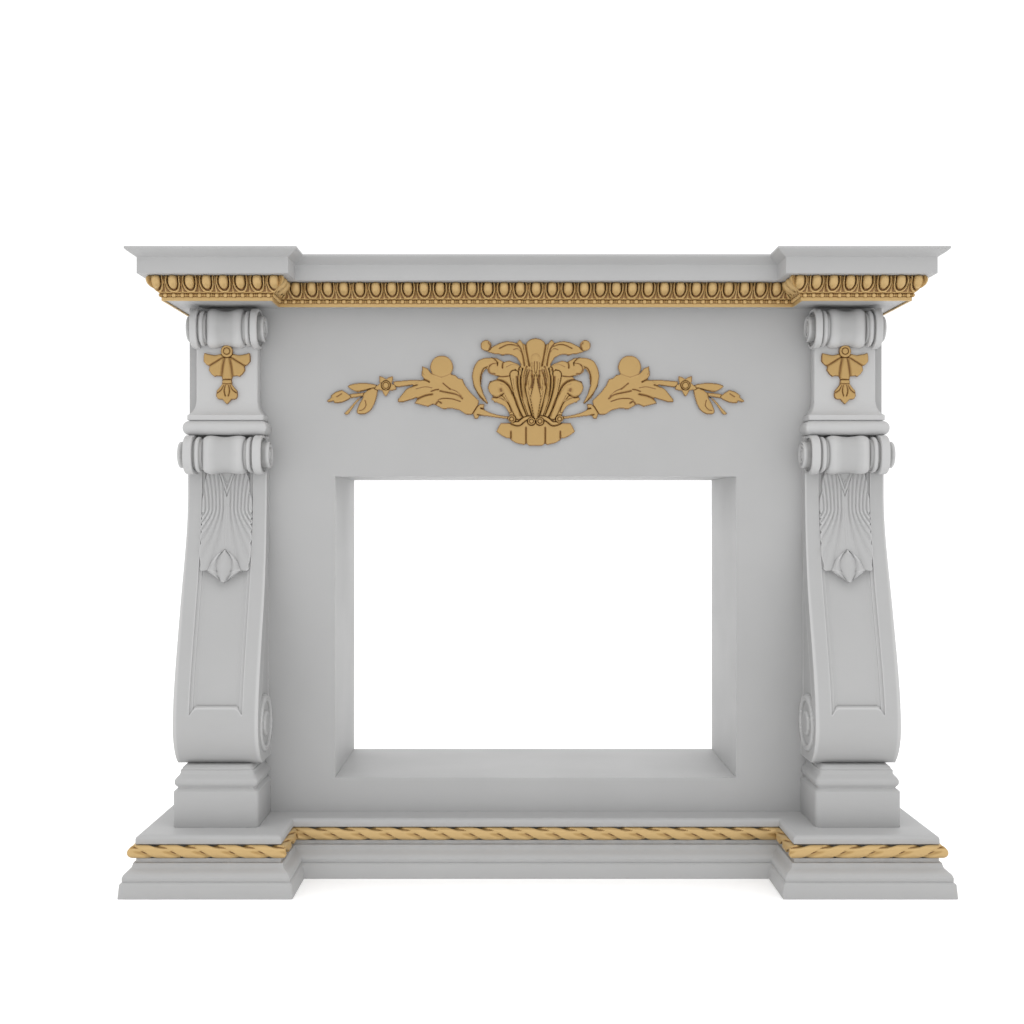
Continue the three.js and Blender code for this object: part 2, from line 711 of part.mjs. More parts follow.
// Shell drop on the frieze console: a ringed boss, a five-fluted fan and a small bell below
const SHELL_STAGE = { x: PILLAR_CENTRE, z: 1025, out: FRIEZE.front };
const SHELL_TOLERANCE = 0.3;
const SHELL_ANGLES = [-86, -72, -55, -35, -14, 0, 14, 35, 55, 72, 86];
const SHELL_REACH = [40.6, 47, 46, 54, 50, 54, 50, 54, 46, 47, 40.6];

// The ring of the shell drop is cut level, so that it tucks in just under the upper roll.
const RING_CUT = 8;

function shellDrop() {
  const s = SHELL_STAGE;
  const solid = joined([
    fan(s, 0, () => 6, SHELL_ANGLES, SHELL_REACH, 8),
    dome(s, 0, 0, 12.8, 9, 10),
    blade(s, [[0, -48], [0, -62], [0, -72]], 10, 8, { rows: 2, blunt: 0.8 }),
    blade(s, [[0, -62], [-12, -82], [-14, -96]], 8, 6, { rows: 2 }),
    blade(s, [[0, -62], [12, -82], [14, -96]], 8, 6, { rows: 2 }),
    blade(s, [[0, -58], [0, -80], [0, -98]], 9, 8, { rows: 2 }),
  ]);
  return toGeometry(solid.trimByPlane([0, 0, -1], -s.z - RING_CUT), SHELL_TOLERANCE);
}
const shell = shellDrop();
addPart('shell_drop_right', shell, GILT);
addPart('shell_drop_left', mirrored(shell), GILT);

// Centre spray on the panel, one carved piece: a palmette over a bundle of acanthus, scrolls
// round it, a fluted foot, and on each side a leaf, a star flower and a budding twig
const SPRAY_STAGE = { x: 0, z: 895, out: 0 };
const STAR_CENTRE = [298.3, 65.4];
const STAR_POINTS = 5;

const STAR_RADII = [23, 13.5];
const STAR_TURN = THREE.MathUtils.degToRad(53);
const STAR_RELIEF = 7;
const STAR_TOP_SHARE = 0.7;

function starFlower() {
  const place = stagePlace(SPRAY_STAGE);
  const ringAt = (height, share) => {
    const ring = [];
    for (let i = 0; i < STAR_POINTS * 2; i += 1) {
      const radius = STAR_RADII[i % 2] * share;
      const angle = STAR_TURN + (i / STAR_POINTS) * Math.PI;
      ring.push(place(STAR_CENTRE[0] - radius * Math.cos(angle),
        STAR_CENTRE[1] + radius * Math.sin(angle), height));
    }
    return ring;
  };
  return loft([ringAt(0, 1), ringAt(STAR_RELIEF, STAR_TOP_SHARE)]);
}

function sprayHalf() {
  const s = SPRAY_STAGE;
  return [
    blade(s, [[20, 98], [46, 146], [94, 142]], 13, 8),
    dome(s, 98.5, 145, 10.8, 8, 6),
    blade(s, [[78, 100], [100, 116], [120, 86], [112, 52], [94, 26]], 8.5, 8, { rows: 7 }),
    dome(s, 84, 99, 14, 8),
    dome(s, 52, 97, 20, 9),
    dome(s, 76, 60, 17, 9),
    blade(s, [[78, 72], [50, 48], [32, 2]], 10, 8, { blunt: 0.4 }),
    blade(s, [[36, 112], [30, 60], [16, 2]], 10, 10, { blunt: 0.4 }),
    blade(s, [[22, 122], [26, 70], [10, 6]], 6, 13, { blunt: 0.4 }),
    blade(s, [[50, 4], [28, -8], [8, 0]], 5, 9, { rows: 3, blunt: 0.7 }),
    dome(s, 47.7, -2, 7.6, 10, 6),
    dome(s, 8.7, -5, 7.6, 10, 6),
    blade(s, [[44, 0], [80, 8], [112, 16]], 6, 6, { rows: 3, blunt: 0.7 }),
    blade(s, [[108, 30], [114, 16], [122, 0]], 8, 9, { rows: 3, blunt: 0.5 }),
    dome(s, 134, 27, 21, 8),
    blade(s, [[130, 24], [200, 66], [276, 33]], 15, 9, { rows: 5 }),
    blade(s, [[130, 24], [186, 44], [240, 30]], 13, 8),
    blade(s, [[130, 14], [166, 16], [198, 23]], 9, 7, { rows: 2 }),
    blade(s, [[134, 24], [180, 70], [226, 102]], 16, 9),
    blade(s, [[128, 24], [144, 56], [150, 82]], 13, 8, { rows: 3 }),
    dome(s, 187, 100, 23, 9, 10),
    blade(s, [[205, 64], [245, 73], [290, 66]], 6, 6, { rows: 3, blunt: 0.8 }),
    starFlower(),
    dome(s, STAR_CENTRE[0], STAR_CENTRE[1], 8.4, 9, 6),
    blade(s, [[305, 60], [340, 70], [375, 63]], 9, 6, { rows: 3 }),
    blade(s, [[306, 62], [334, 40], [356, 12]], 16, 7),
    blade(s, [[318, 52], [346, 46], [376, 43]], 4, 6, { rows: 3, blunt: 0.7 }),
    blade(s, [[342, 48], [364, 26], [381, 8]], 5, 5, { rows: 2 }),
    blade(s, [[366, 44], [392, 44], [417, 33]], 12, 7, { rows: 3 }),
  ];
}

const SPRAY_TOLERANCE = 3;
const FOOT_FAN_CENTRE = 66;
const FOOT_START = 73;
const FOOT_ANGLES = [-42, -34, -26, -18, -9, 0, 9, 18, 26, 34, 42];
const FOOT_REACH = [112, 122, 121, 123, 121.5, 121.6, 121.5, 123, 121, 122, 112];

function centreSpray() {
  const half = joined(sprayHalf());
  const other = toSolid(mirrored(toGeometry(half)));
  const s = SPRAY_STAGE;
  const middle = [
    fan(s, FOOT_FAN_CENTRE, (angle) => FOOT_START / Math.cos(angle), FOOT_ANGLES, FOOT_REACH, 7),
    dome(s, 0, 141, 20.5, 9, 10),
    blade(s, [[0, 160], [0, 128], [0, 86]], 17, 9, { rows: 3, blunt: 0.6 }),
    blade(s, [[0, 110], [0, 60], [0, -2]], 22, 15, { rows: 5, blunt: 0.3 }),
  ];
  return toGeometry(half.add(other).add(joined(middle)), SPRAY_TOLERANCE);
}
addPart('centre_spray', centreSpray(), GILT);

export default group;
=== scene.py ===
import math

import bmesh
import bpy
import numpy as np
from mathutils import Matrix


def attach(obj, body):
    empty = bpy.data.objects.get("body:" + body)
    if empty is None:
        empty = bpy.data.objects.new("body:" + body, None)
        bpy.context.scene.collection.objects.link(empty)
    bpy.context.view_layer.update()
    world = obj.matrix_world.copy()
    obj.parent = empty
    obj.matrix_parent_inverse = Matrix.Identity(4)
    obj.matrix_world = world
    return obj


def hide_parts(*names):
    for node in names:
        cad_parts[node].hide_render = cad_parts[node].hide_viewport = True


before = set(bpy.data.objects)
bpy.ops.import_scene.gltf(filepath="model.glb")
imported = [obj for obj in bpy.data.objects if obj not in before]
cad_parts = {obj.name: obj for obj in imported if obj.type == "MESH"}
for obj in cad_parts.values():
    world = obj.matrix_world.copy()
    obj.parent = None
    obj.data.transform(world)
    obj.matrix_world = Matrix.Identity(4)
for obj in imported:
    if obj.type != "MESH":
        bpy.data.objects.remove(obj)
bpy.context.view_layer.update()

# Camera, light and floor: the front is seen straight on, from a little above half its height,
# in plain soft studio light over a pale floor. One wide lamp hangs overhead and one stands
# behind, so that light comes through the firebox.
bpy.ops.object.select_all(action="DESELECT")
bpy.ops.object.camera_add(location=(-0.0483, -2.5134, 0.7102), rotation=(math.pi / 2, 0, 0))
camera = bpy.context.object
camera.data.sensor_width = 36
camera.data.lens = 43.456
camera.data.shift_x = 0.0006
camera.data.shift_y = -0.001
bpy.context.scene.camera = camera
bpy.context.scene.view_settings.view_transform = "Standard"

studio = bpy.data.worlds.new("studio")
studio.use_nodes = True
studio.node_tree.nodes["Background"].inputs["Color"].default_value = (1, 1, 1, 1)
studio.node_tree.nodes["Background"].inputs["Strength"].default_value = 1.13
bpy.context.scene.world = studio

for place, turn, width, power in (
    ((0, -0.8, 3.6), (0, 0, 0), 4, 40),
    ((0, 2.0, 0.9), (-90, 0, 0), 5, 34),
):
    bpy.ops.object.light_add(
        type="AREA", location=place, rotation=[math.radians(angle) for angle in turn])
    lamp = bpy.context.object
    lamp.data.shape = "DISK"
    lamp.data.size = width
    lamp.data.energy = power
    lamp.visible_camera = False

floor_finish = bpy.data.materials.new("studio_floor")
floor_finish.use_nodes = True
nodes = floor_finish.node_tree.nodes
links = floor_finish.node_tree.links
nodes["Principled BSDF"].inputs["Roughness"].default_value = 0.9
nodes["Principled BSDF"].inputs["Emission Color"].default_value = (1, 1, 1, 1)
nodes["Principled BSDF"].inputs["Emission Strength"].default_value = 0.12
clouding = nodes.new("ShaderNodeTexNoise")
clouding.inputs["Scale"].default_value = 0.6
pale = nodes.new("ShaderNodeMix")
pale.data_type = "RGBA"
pale.inputs["A"].default_value = (0.97, 0.97, 0.97, 1)
pale.inputs["B"].default_value = (0.99, 0.99, 0.99, 1)
floor_place = nodes.new("ShaderNodeTexCoord")
links.new(floor_place.outputs["Object"], clouding.inputs["Vector"])
links.new(clouding.outputs["Fac"], pale.inputs["Factor"])
links.new(pale.outputs["Result"], nodes["Principled BSDF"].inputs["Base Color"])
bpy.ops.mesh.primitive_plane_add(size=400, location=(0, 0, -0.0005))
floor = bpy.context.object
floor.name = "floor"
bpy.ops.object.transform_apply(location=True)
floor.data.materials.append(floor_finish)


# Base: a battered plinth of boards with an ogee moulding planted on it, a hollow for the
# rope and a slab with a rounded edge. It is softwood, mitred at the corners and glued, with
# several coats of pale grey paint rubbed down between coats.
WALL = 253
BASE_TOP = 110.5
BASE_PLAN = {"outer": 734.4, "inner": 483.3, "block": -218.4, "middle": -91.9}


def stepped(plan):
    """A plan that steps forward under the two pillars, grown by p on all sides but the back."""
    def outline(p, z):
        right = [
            (plan["inner"] - p, plan["middle"] - p), (plan["inner"] - p, plan["block"] - p),
            (plan["outer"] + p, plan["block"] - p), (plan["outer"] + p, WALL)]
        left = [(-x, y) for x, y in reversed(right)]
        return [(x, y, z) for x, y in left + right]
    return outline


def arc(start, bend_one, bend_two, end, steps):
    """Points on a smooth curve from start to end, pulled towards the two bend points."""
    t = np.linspace(0, 1, steps + 1)[:, None]
    pull = [np.array(point, float) for point in (start, bend_one, bend_two, end)]
    curve = ((1 - t) ** 3 * pull[0] + 3 * (1 - t) ** 2 * t * pull[1]
             + 3 * (1 - t) * t ** 2 * pull[2] + t ** 3 * pull[3])
    return [tuple(point) for point in curve]


def outline_face(name, points):
    """A flat face with this outline, to start a stack from."""
    bpy.ops.object.select_all(action="DESELECT")
    bpy.ops.mesh.primitive_circle_add(vertices=len(points), fill_type="NGON")
    piece = bpy.context.object
    piece.name = name
    piece.data.vertices.foreach_set("co", np.ravel(points) / 1000)
    piece.data.update()
    return piece


def stack(name, plan, levels, edge=0.8):
    """Extrudes a plan up through its levels, each new outline moved to plan(p, z)."""
    piece = outline_face(name, plan(*levels[0]))
    bpy.ops.object.mode_set(mode="EDIT")
    for level in levels[1:]:
        bpy.ops.mesh.extrude_region_move()
        mesh = bmesh.from_edit_mesh(piece.data)
        for vertex, point in zip([v for v in mesh.verts if v.select], plan(*level)):
            vertex.co = [value / 1000 for value in point]
        bmesh.update_edit_mesh(piece.data)
    bpy.ops.mesh.select_all(action="SELECT")
    bpy.ops.mesh.normals_make_consistent(inside=False)
    bpy.ops.object.mode_set(mode="OBJECT")
    soft = piece.modifiers.new("eased edges", "BEVEL")
    soft.width = edge / 1000
    soft.segments = 2
    soft.angle_limit = math.radians(40)
    bpy.ops.object.modifier_apply(modifier=soft.name)
    bpy.ops.object.shade_smooth_by_angle(angle=math.radians(28))
    return piece


def new_group(name, inputs, outputs):
    group = bpy.data.node_groups.new(name, "ShaderNodeTree")
    for title, value in inputs:
        socket = group.interface.new_socket(title, in_out="INPUT", socket_type="NodeSocketFloat")
        socket.default_value = value
    for title in outputs:
        group.interface.new_socket(title, in_out="OUTPUT", socket_type="NodeSocketFloat")
    return group, group.nodes.new("NodeGroupInput"), group.nodes.new("NodeGroupOutput")


def brushed_group():
    """Soft mottling, and the fine streaks of a brush drawn along the length."""
    group, given, out = new_group(
        "brushed_coat", [("Mottle Scale", 7), ("Streak Scale", 260)], ["Mottle", "Streaks"])
    place = group.nodes.new("ShaderNodeTexCoord")
    mottle = group.nodes.new("ShaderNodeTexNoise")
    mottle.inputs["Detail"].default_value = 5
    stretch = group.nodes.new("ShaderNodeMapping")
    stretch.inputs["Scale"].default_value = (0.12, 0.5, 1.0)
    streaks = group.nodes.new("ShaderNodeTexNoise")
    streaks.inputs["Detail"].default_value = 3
    group.links.new(place.outputs["Object"], mottle.inputs["Vector"])
    group.links.new(place.outputs["Object"], stretch.inputs["Vector"])
    group.links.new(stretch.outputs["Vector"], streaks.inputs["Vector"])
    group.links.new(given.outputs["Mottle Scale"], mottle.inputs["Scale"])
    group.links.new(given.outputs["Streak Scale"], streaks.inputs["Scale"])
    group.links.new(mottle.outputs["Fac"], out.inputs["Mottle"])
    group.links.new(streaks.outputs["Fac"], out.inputs["Streaks"])
    return group


def shade_and_wear_group():
    """Masks for painted shade in the hollows of the carving, and for wear on what stands proud of it."""
    group, given, out = new_group(
        "carved_shade_and_wear", [("Hollow Start", 0.1), ("Hollow Full", 0.8)], ["Hollow", "Proud"])
    stored = group.nodes.new("ShaderNodeAttribute")
    stored.attribute_name = "hollow"
    for title, low, high in (("Hollow", "Hollow Start", "Hollow Full"), ("Proud", None, None)):
        span = group.nodes.new("ShaderNodeMapRange")
        span.interpolation_type = "SMOOTHSTEP"
        if low:
            group.links.new(given.outputs[low], span.inputs["From Min"])
            group.links.new(given.outputs[high], span.inputs["From Max"])
        else:
            span.inputs["From Min"].default_value = -0.05
            span.inputs["From Max"].default_value = -0.45
        group.links.new(stored.outputs["Fac"], span.inputs["Value"])
        group.links.new(span.outputs["Result"], out.inputs[title])
    return group


brushed_coat = brushed_group()
carved_shade_and_wear = shade_and_wear_group()


def finish(name, light, dark, ground, worn, roughness, metallic, hollows, bump):
    """A coat that runs from light to dark at random, with painted shade in its hollows that darkens it
    towards the ground colour, and worn lighter at the edges.
    """
    material = bpy.data.materials.new(name)
    material.use_nodes = True
    nodes = material.node_tree.nodes
    links = material.node_tree.links
    shader = nodes["Principled BSDF"]
    coat = nodes.new("ShaderNodeGroup")
    coat.node_tree = brushed_coat
    shade_and_wear = nodes.new("ShaderNodeGroup")
    shade_and_wear.node_tree = carved_shade_and_wear
    shade_and_wear.inputs["Hollow Start"].default_value = hollows[0]
    shade_and_wear.inputs["Hollow Full"].default_value = hollows[1]
    colour = None
    # The last mix is painted shade: the hollow mask darkens the coat towards the ground colour.
    for start, end, mask in (
        (light, dark, coat.outputs["Mottle"]),
        (None, worn, shade_and_wear.outputs["Proud"]),
        (None, ground, shade_and_wear.outputs["Hollow"]),
    ):
        mix = nodes.new("ShaderNodeMix")
        mix.data_type = "RGBA"
        if start:
            mix.inputs["A"].default_value = (*start, 1)
        else:
            links.new(colour, mix.inputs["A"])
        mix.inputs["B"].default_value = (*end, 1)
        links.new(mask, mix.inputs["Factor"])
        colour = mix.outputs["Result"]
    links.new(colour, shader.inputs["Base Color"])
    rough = nodes.new("ShaderNodeMapRange")
    rough.inputs["To Min"].default_value = roughness[0]
    rough.inputs["To Max"].default_value = roughness[1]
    links.new(coat.outputs["Mottle"], rough.inputs["Value"])
    links.new(rough.outputs["Result"], shader.inputs["Roughness"])
    relief = nodes.new("ShaderNodeBump")
    relief.inputs["Strength"].default_value = bump
    relief.inputs["Distance"].default_value = 0.0004
    links.new(coat.outputs["Streaks"], relief.inputs["Height"])
    links.new(relief.outputs["Normal"], shader.inputs["Normal"])
    shader.inputs["Metallic"].default_value = metallic
    return material


# Pale grey paint in two random tones; (0.26, 0.259, 0.256) is painted shade for its hollows, and the
# lighter grey is its worn edges.
grey_paint = finish(
    "grey_paint", (0.39, 0.39, 0.39), (0.36, 0.36, 0.36), (0.26, 0.259, 0.256),
    (0.45, 0.45, 0.45), (0.5, 0.7), 0, (0.12, 1.6), 0.25)
coats = {"paint": grey_paint}


def fit(piece, slot, *replaced):
    """Gives a finished piece its coat and puts it in the place of the plain solid."""
    piece.data.materials.clear()
    piece.data.materials.append(coats[slot])
    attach(piece, "root")
    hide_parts(*replaced)


base_levels = [
    (34.6, 0), (32.3, 25.7), (29, 28.6), (27.6, 29.2), (28.7, 30.5), (28.7, 36.7),
    *arc((28.2, 37.6), (26, 47), (15, 47), (13.6, 56), 9),
    (12.6, 60.2), (8.4, 60.8), (8.4, 68), (-5, 68), (-5, 93.3), (8.6, 93.3), (9.4, 94.4),
    (9.4, 101.8),
    *arc((9.3, 103.5), (8.8, 107), (5, 109.8), (0, BASE_TOP), 6),
]
base = stack("base_mouldings", stepped(BASE_PLAN), base_levels, edge=0.6)
fit(base, "paint", "base")


# Rope: two strands twisted together, carved from a round bar in mitred lengths and gilded; the
# gilding is darkened to a warm brown in its hollows as painted shade. It lies in the base's hollow,
# glued, and turns the opposite way on the two blocks.
# Gilding in two random tones of gold; (0.19, 0.092, 0.03) is painted shade for its hollows, and the lighter
# gold is its worn edges.
gilding = finish(
    "gilding", (0.43, 0.278, 0.102), (0.392, 0.248, 0.088), (0.19, 0.092, 0.03),
    (0.5, 0.34, 0.145), (0.36, 0.55), 0.3, (0.03, 0.75), 0.35)
coats["gilt"] = gilding


def places(mesh):
    """Where its vertices are, as rows of x, y and z."""
    flat = np.empty(len(mesh.vertices) * 3, np.float32)
    mesh.vertices.foreach_get("co", flat)
    return flat.reshape(-1, 3)


def sheet(name, columns, rows, place):
    """Lays a grid of faces where place(u, v) says, for u and v from 0 to 1."""
    bpy.ops.object.select_all(action="DESELECT")
    bpy.ops.mesh.primitive_grid_add(x_subdivisions=columns, y_subdivisions=rows, size=2)
    piece = bpy.context.object
    piece.name = name
    flat = places(piece.data)
    u = np.round((flat[:, 0] + 1) / 2 * columns) / columns
    v = np.round((flat[:, 1] + 1) / 2 * rows) / rows
    piece.data.vertices.foreach_set("co", np.stack(place(u, v), 1).astype(np.float32).ravel() / 1000)
    piece.data.update()
    return piece


def close(piece):
    """Joins the seam of a sheet that comes round on itself, and caps its open ends."""
    bpy.ops.object.mode_set(mode="EDIT")
    bpy.ops.mesh.select_all(action="SELECT")
    bpy.ops.mesh.remove_doubles(threshold=2e-6)
    bpy.ops.mesh.select_all(action="SELECT")
    bpy.ops.mesh.fill_holes(sides=0)
    bpy.ops.object.mode_set(mode="OBJECT")


def saw(piece, point, normal):
    """Saws off what lies on the normal's side of a plane, and closes the cut."""
    bpy.ops.object.mode_set(mode="EDIT")
    bpy.ops.mesh.select_all(action="SELECT")
    bpy.ops.mesh.bisect(
        plane_co=[value / 1000 for value in point], plane_no=normal, use_fill=True,
        clear_outer=True)
    bpy.ops.object.mode_set(mode="OBJECT")


def mark_hollows(piece, passes=5):
    """Stores how far each vertex lies under (+) or over (-) its smoothed surroundings, in mm: the mask for
    painted shade in hollows and for wear on proud parts.
    """
    mesh = piece.data
    count = len(mesh.vertices)
    place = places(mesh).astype(float) * 1000
    normal = np.empty(count * 3, np.float32)
    mesh.vertex_normals.foreach_get("vector", normal)
    edges = np.empty(len(mesh.edges) * 2, np.int32)
    mesh.edges.foreach_get("vertices", edges)
    one, other = edges.reshape(-1, 2).T
    near = np.bincount(one, minlength=count) + np.bincount(other, minlength=count)
    smooth = place.copy()
    for _ in range(passes):
        total = np.stack([
            np.bincount(one, smooth[other, axis], count) + np.bincount(other, smooth[one, axis], count)
            for axis in range(3)], 1)
        smooth = 0.3 * smooth + 0.7 * total / np.maximum(near, 1)[:, None]
    depth = ((smooth - place) * normal.reshape(-1, 3)).sum(1)
    stored = mesh.attributes.new("hollow", "FLOAT", "POINT")
    stored.data.foreach_set("value", depth.astype(np.float32))


def left_hand(piece, name):
    """The same piece made for the other side."""
    copy = piece.copy()
    copy.data = piece.data.copy()
    copy.name = name
    bpy.context.collection.objects.link(copy)
    place = places(copy.data) * (-1, 1, 1)
    copy.data.vertices.foreach_set("co", place.astype(np.float32).ravel())
    copy.data.flip_normals()
    copy.data.update()
    return copy


def run_lengths(plan):
    """Each straight length as its start, direction, outward side, length and kinds of end.
    An end is 1 where the corner stands out, -1 where it goes in and 0 where it is square."""
    right, front, back, left = (1, 0), (0, -1), (0, 1), (-1, 0)
    return {
        "return": ((plan["outer"], plan["block"]), back, right, WALL - plan["block"], (1, 0)),
        "block": ((plan["inner"], plan["block"]), right, front, plan["outer"] - plan["inner"], (1, 1)),
        "inner": ((plan["inner"], plan["middle"]), front, left, plan["middle"] - plan["block"], (-1, 1)),
        "middle": ((-plan["inner"], plan["middle"]), right, front, 2 * plan["inner"], (-1, -1)),
    }


def carved_length(name, run, step, rows, section):
    """Carves one length past both its ends, then saws the mitres. section(s, v) gives the
    outline as (p, z) for the distance s from the middle of the length."""
    start, along, out, length, ends = run
    spare = 74
    columns = int(round((length + 2 * spare) / step))

    def place(u, v):
        s = u * (length + 2 * spare) - spare
        p, z = section(s - length / 2, v)
        return start[0] + along[0] * s + out[0] * p, start[1] + along[1] * s + out[1] * p, z

    piece = sheet(name, columns, rows, place)
    close(piece)
    for kind, s, way in ((ends[0], 0, -1), (ends[1], length, 1)):
        point = (start[0] + along[0] * s, start[1] + along[1] * s, 0)
        saw(piece, point, (way * along[0] - kind * out[0], way * along[1] - kind * out[1], 0))
    bpy.ops.object.shade_smooth_by_angle(angle=math.radians(50))
    mark_hollows(piece)
    return piece


def ease(value, low, high):
    """Rises smoothly from 0 at low to 1 at high."""
    t = np.clip((value - low) / (high - low), 0, 1)
    return t * t * (3 - 2 * t)


ROPE_RADIUS = 11.8
ROPE_AXIS = (9.5, 80.7)
STRAND_PITCH = 54
STRAND_STEP = 4


def rope_section(hand, start):
    """The rope's outline, cut in where one strand goes under the next. hand is the way it
    turns, and start shifts the strands along."""
    def section(s, v):
        turn = (2 * v - 1) * math.pi
        phase = np.mod(hand * s / STRAND_PITCH + turn / math.pi + start, 1)
        fall = np.clip((phase - 0.5) / 0.32, 0, 1)
        drop = fall * fall * (3 - 2 * fall) * (1 - np.clip((phase - 0.975) / 0.025, 0, 1))
        calm = 1 - 0.7 * np.exp(-((turn - 0.55) / 0.4) ** 2)
        low_half = (1 - ease(turn, 0.1, 0.5)) * ease(turn, -1.9, -1.3)
        under = np.exp(-((phase - 0.94) / 0.05) ** 2) * low_half
        radius = ROPE_RADIUS - STRAND_STEP * drop * calm - 1.9 * under
        return ROPE_AXIS[0] + radius * np.cos(turn), ROPE_AXIS[1] + radius * np.sin(turn)
    return section


for kind, run in run_lengths(BASE_PLAN).items():
    if kind == "middle":
        rope = carved_length("carved_rope_middle", run, 1.3, 30, rope_section(1, 0.25))
        fit(rope, "gilt", "rope_middle")
        continue
    rope = carved_length(f"carved_rope_{kind}_right", run, 1.3, 30, rope_section(-1, 0.09))
    twin = left_hand(rope, f"carved_rope_{kind}_left")
    fit(rope, "gilt", f"rope_{kind}_right")
    fit(twin, "gilt", f"rope_{kind}_left")


# Front panel, linings, side boards and the core of the cornice: plain boards, glued and
# screwed from behind, with the linings mitred round the firebox. They keep their sawn shape
# and only take the paint.
for board in ("front_panel", "lining_head", "lining_sill", "lining_left", "lining_right",
              "side_board_left", "side_board_right", "cornice_core"):
    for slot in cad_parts[board].material_slots:
        slot.material = grey_paint


# Pedestals: painted blocks of solid wood that stand on the base against the panel, with a
# moulded cap cut from the same wood and the two front corners rounded off.
FACE = -48
PILLAR = 608.8


def pier(half_width, front, round_off, share=1):
    """The plan of a block against the panel, with its two front corners rounded off. It grows
    by p in front and by a share of p at the sides."""
    def outline(p, z):
        x, y = half_width + p * share, FACE - front - p
        corner = [(x - round_off * (1 - math.sin(turn)), y + round_off * (1 - math.cos(turn)))
                  for turn in np.linspace(0, math.pi / 2, 5)]
        right = [*corner, (x, FACE - 0.3)]
        left = [(-cx, cy) for cx, cy in reversed(right)]
        return [(PILLAR + cx, cy, z) for cx, cy in left + right]
    return outline


pedestal_levels = [
    (0, BASE_TOP), (0, 178), (-1.6, 179.2), (-6.4, 183.4), (-6.4, 184.6),
    *arc((-5.6, 186), (-2.5, 189), (-1.3, 191), (-1.3, 194), 3), (-1.3, 197.6),
    *arc((-1.8, 199), (-4, 205), (-9, 206), (-10.3, 211), 4), (-10.3, 216.6),
    (-13, 217.6), (-13.5, 221), (-18.4, 225.8),
]
pedestal = stack("moulded_pedestal_right", pier(80.8, 124.1, 7), pedestal_levels, edge=0.6)
fit(pedestal, "paint", "pedestal_right")
fit(left_hand(pedestal, "moulded_pedestal_left"), "paint", "pedestal_left")


# Scroll consoles: one block of wood each, bandsawn to a long swelling curve and painted. The
# front is sunk as a panel under an acanthus leaf, each side has a sunk field with a volute,
# and a scroll roll lies across the top.
SHAFT_TOP = 752
SWELL = 126.5
SWELL_HEIGHT = 300
SWELL_RADIUS = 90
SHAFT_HALF = 77.5
SHAFT_BOTTOM = 226.3
BLOCK_TOP = 858.3
SUNK_HALF = 50.7
SUNK_FOOT = 339
VOLUTE_AXIS = (55.8, 297)
VOLUTE_RADIUS = 56
shaft_curve = np.array(arc(
    (25.8, SHAFT_TOP), (25.8, SHAFT_TOP - 152), (SWELL, SWELL_HEIGHT + 112), (SWELL, SWELL_HEIGHT),
    60))


def shaft_out(z):
    """How far the shaft's front stands out from the panel at a height."""
    upper = np.interp(z, shaft_curve[::-1, 1], shaft_curve[::-1, 0])
    lower = SWELL - SWELL_RADIUS + np.sqrt(np.maximum(SWELL_RADIUS ** 2 - (SWELL_HEIGHT - z) ** 2, 0))
    return np.where(z < SWELL_HEIGHT, lower, upper)


def sunk_panel(x, z):
    """Depth of the panel down the front: a quirk, a flat, a small step and a soft floor. It
    ends at the foot, with rounded shoulders."""
    inside = SUNK_HALF - np.abs(x)
    walls = 3 * ease(inside, 0, 1.2) + 2 * ease(inside, 6.3, 7.5) + 2.6 * ease(inside, 7.5, 15)
    foot = SUNK_FOOT - 15 * ease(np.abs(x), 34, SUNK_HALF) ** 2
    return walls * ease(z, foot - 1.5, foot + 1)


def spiral_band(across, up, outer, inner, turns, width):
    """How proud a volute's raised band is, from 0 to 1, round its own centre."""
    radius = np.hypot(across, up)
    turn = np.mod(np.arctan2(up, across) / (2 * math.pi) + 0.25, 1)
    best = np.zeros_like(radius)
    for lap in range(int(turns) + 1):
        along = (turn + lap) / turns
        line = outer + (inner - outer) * along
        half = width * (1 - 0.4 * along)
        proud = 1 - ease(np.abs(radius - line), half - 1.2, half)
        best = np.maximum(best, np.where(along <= 1, proud, 0))
    return best


def side_relief(out, z):
    """The side of the shaft: a raised edge along the front, the field sunk behind it, and at
    the foot a volute of one raised ring round its eye."""
    behind = shaft_out(z) - out
    field = ease(behind, 33, 35) * ease(z, 330, 350) * (1 - ease(z, 742, 750))
    across, up = out - VOLUTE_AXIS[0], z - VOLUTE_AXIS[1]
    radius = np.hypot(across, up)
    band = ease(radius, 41.5, 44.5) * (1 - ease(radius, 52, 55))
    eye = (1 - ease(radius, 22, 25)) * (1 + 0.25 * np.cos(np.minimum(radius / 23, 1) * math.pi / 2))
    floor = -2.5 * (1 - ease(radius, 47, 49))
    return np.where(radius < VOLUTE_RADIUS, np.maximum(4.3 * np.maximum(band, eye), floor), -4 * field)


SIDE_COLUMNS = 36
FRONT_COLUMNS = 96


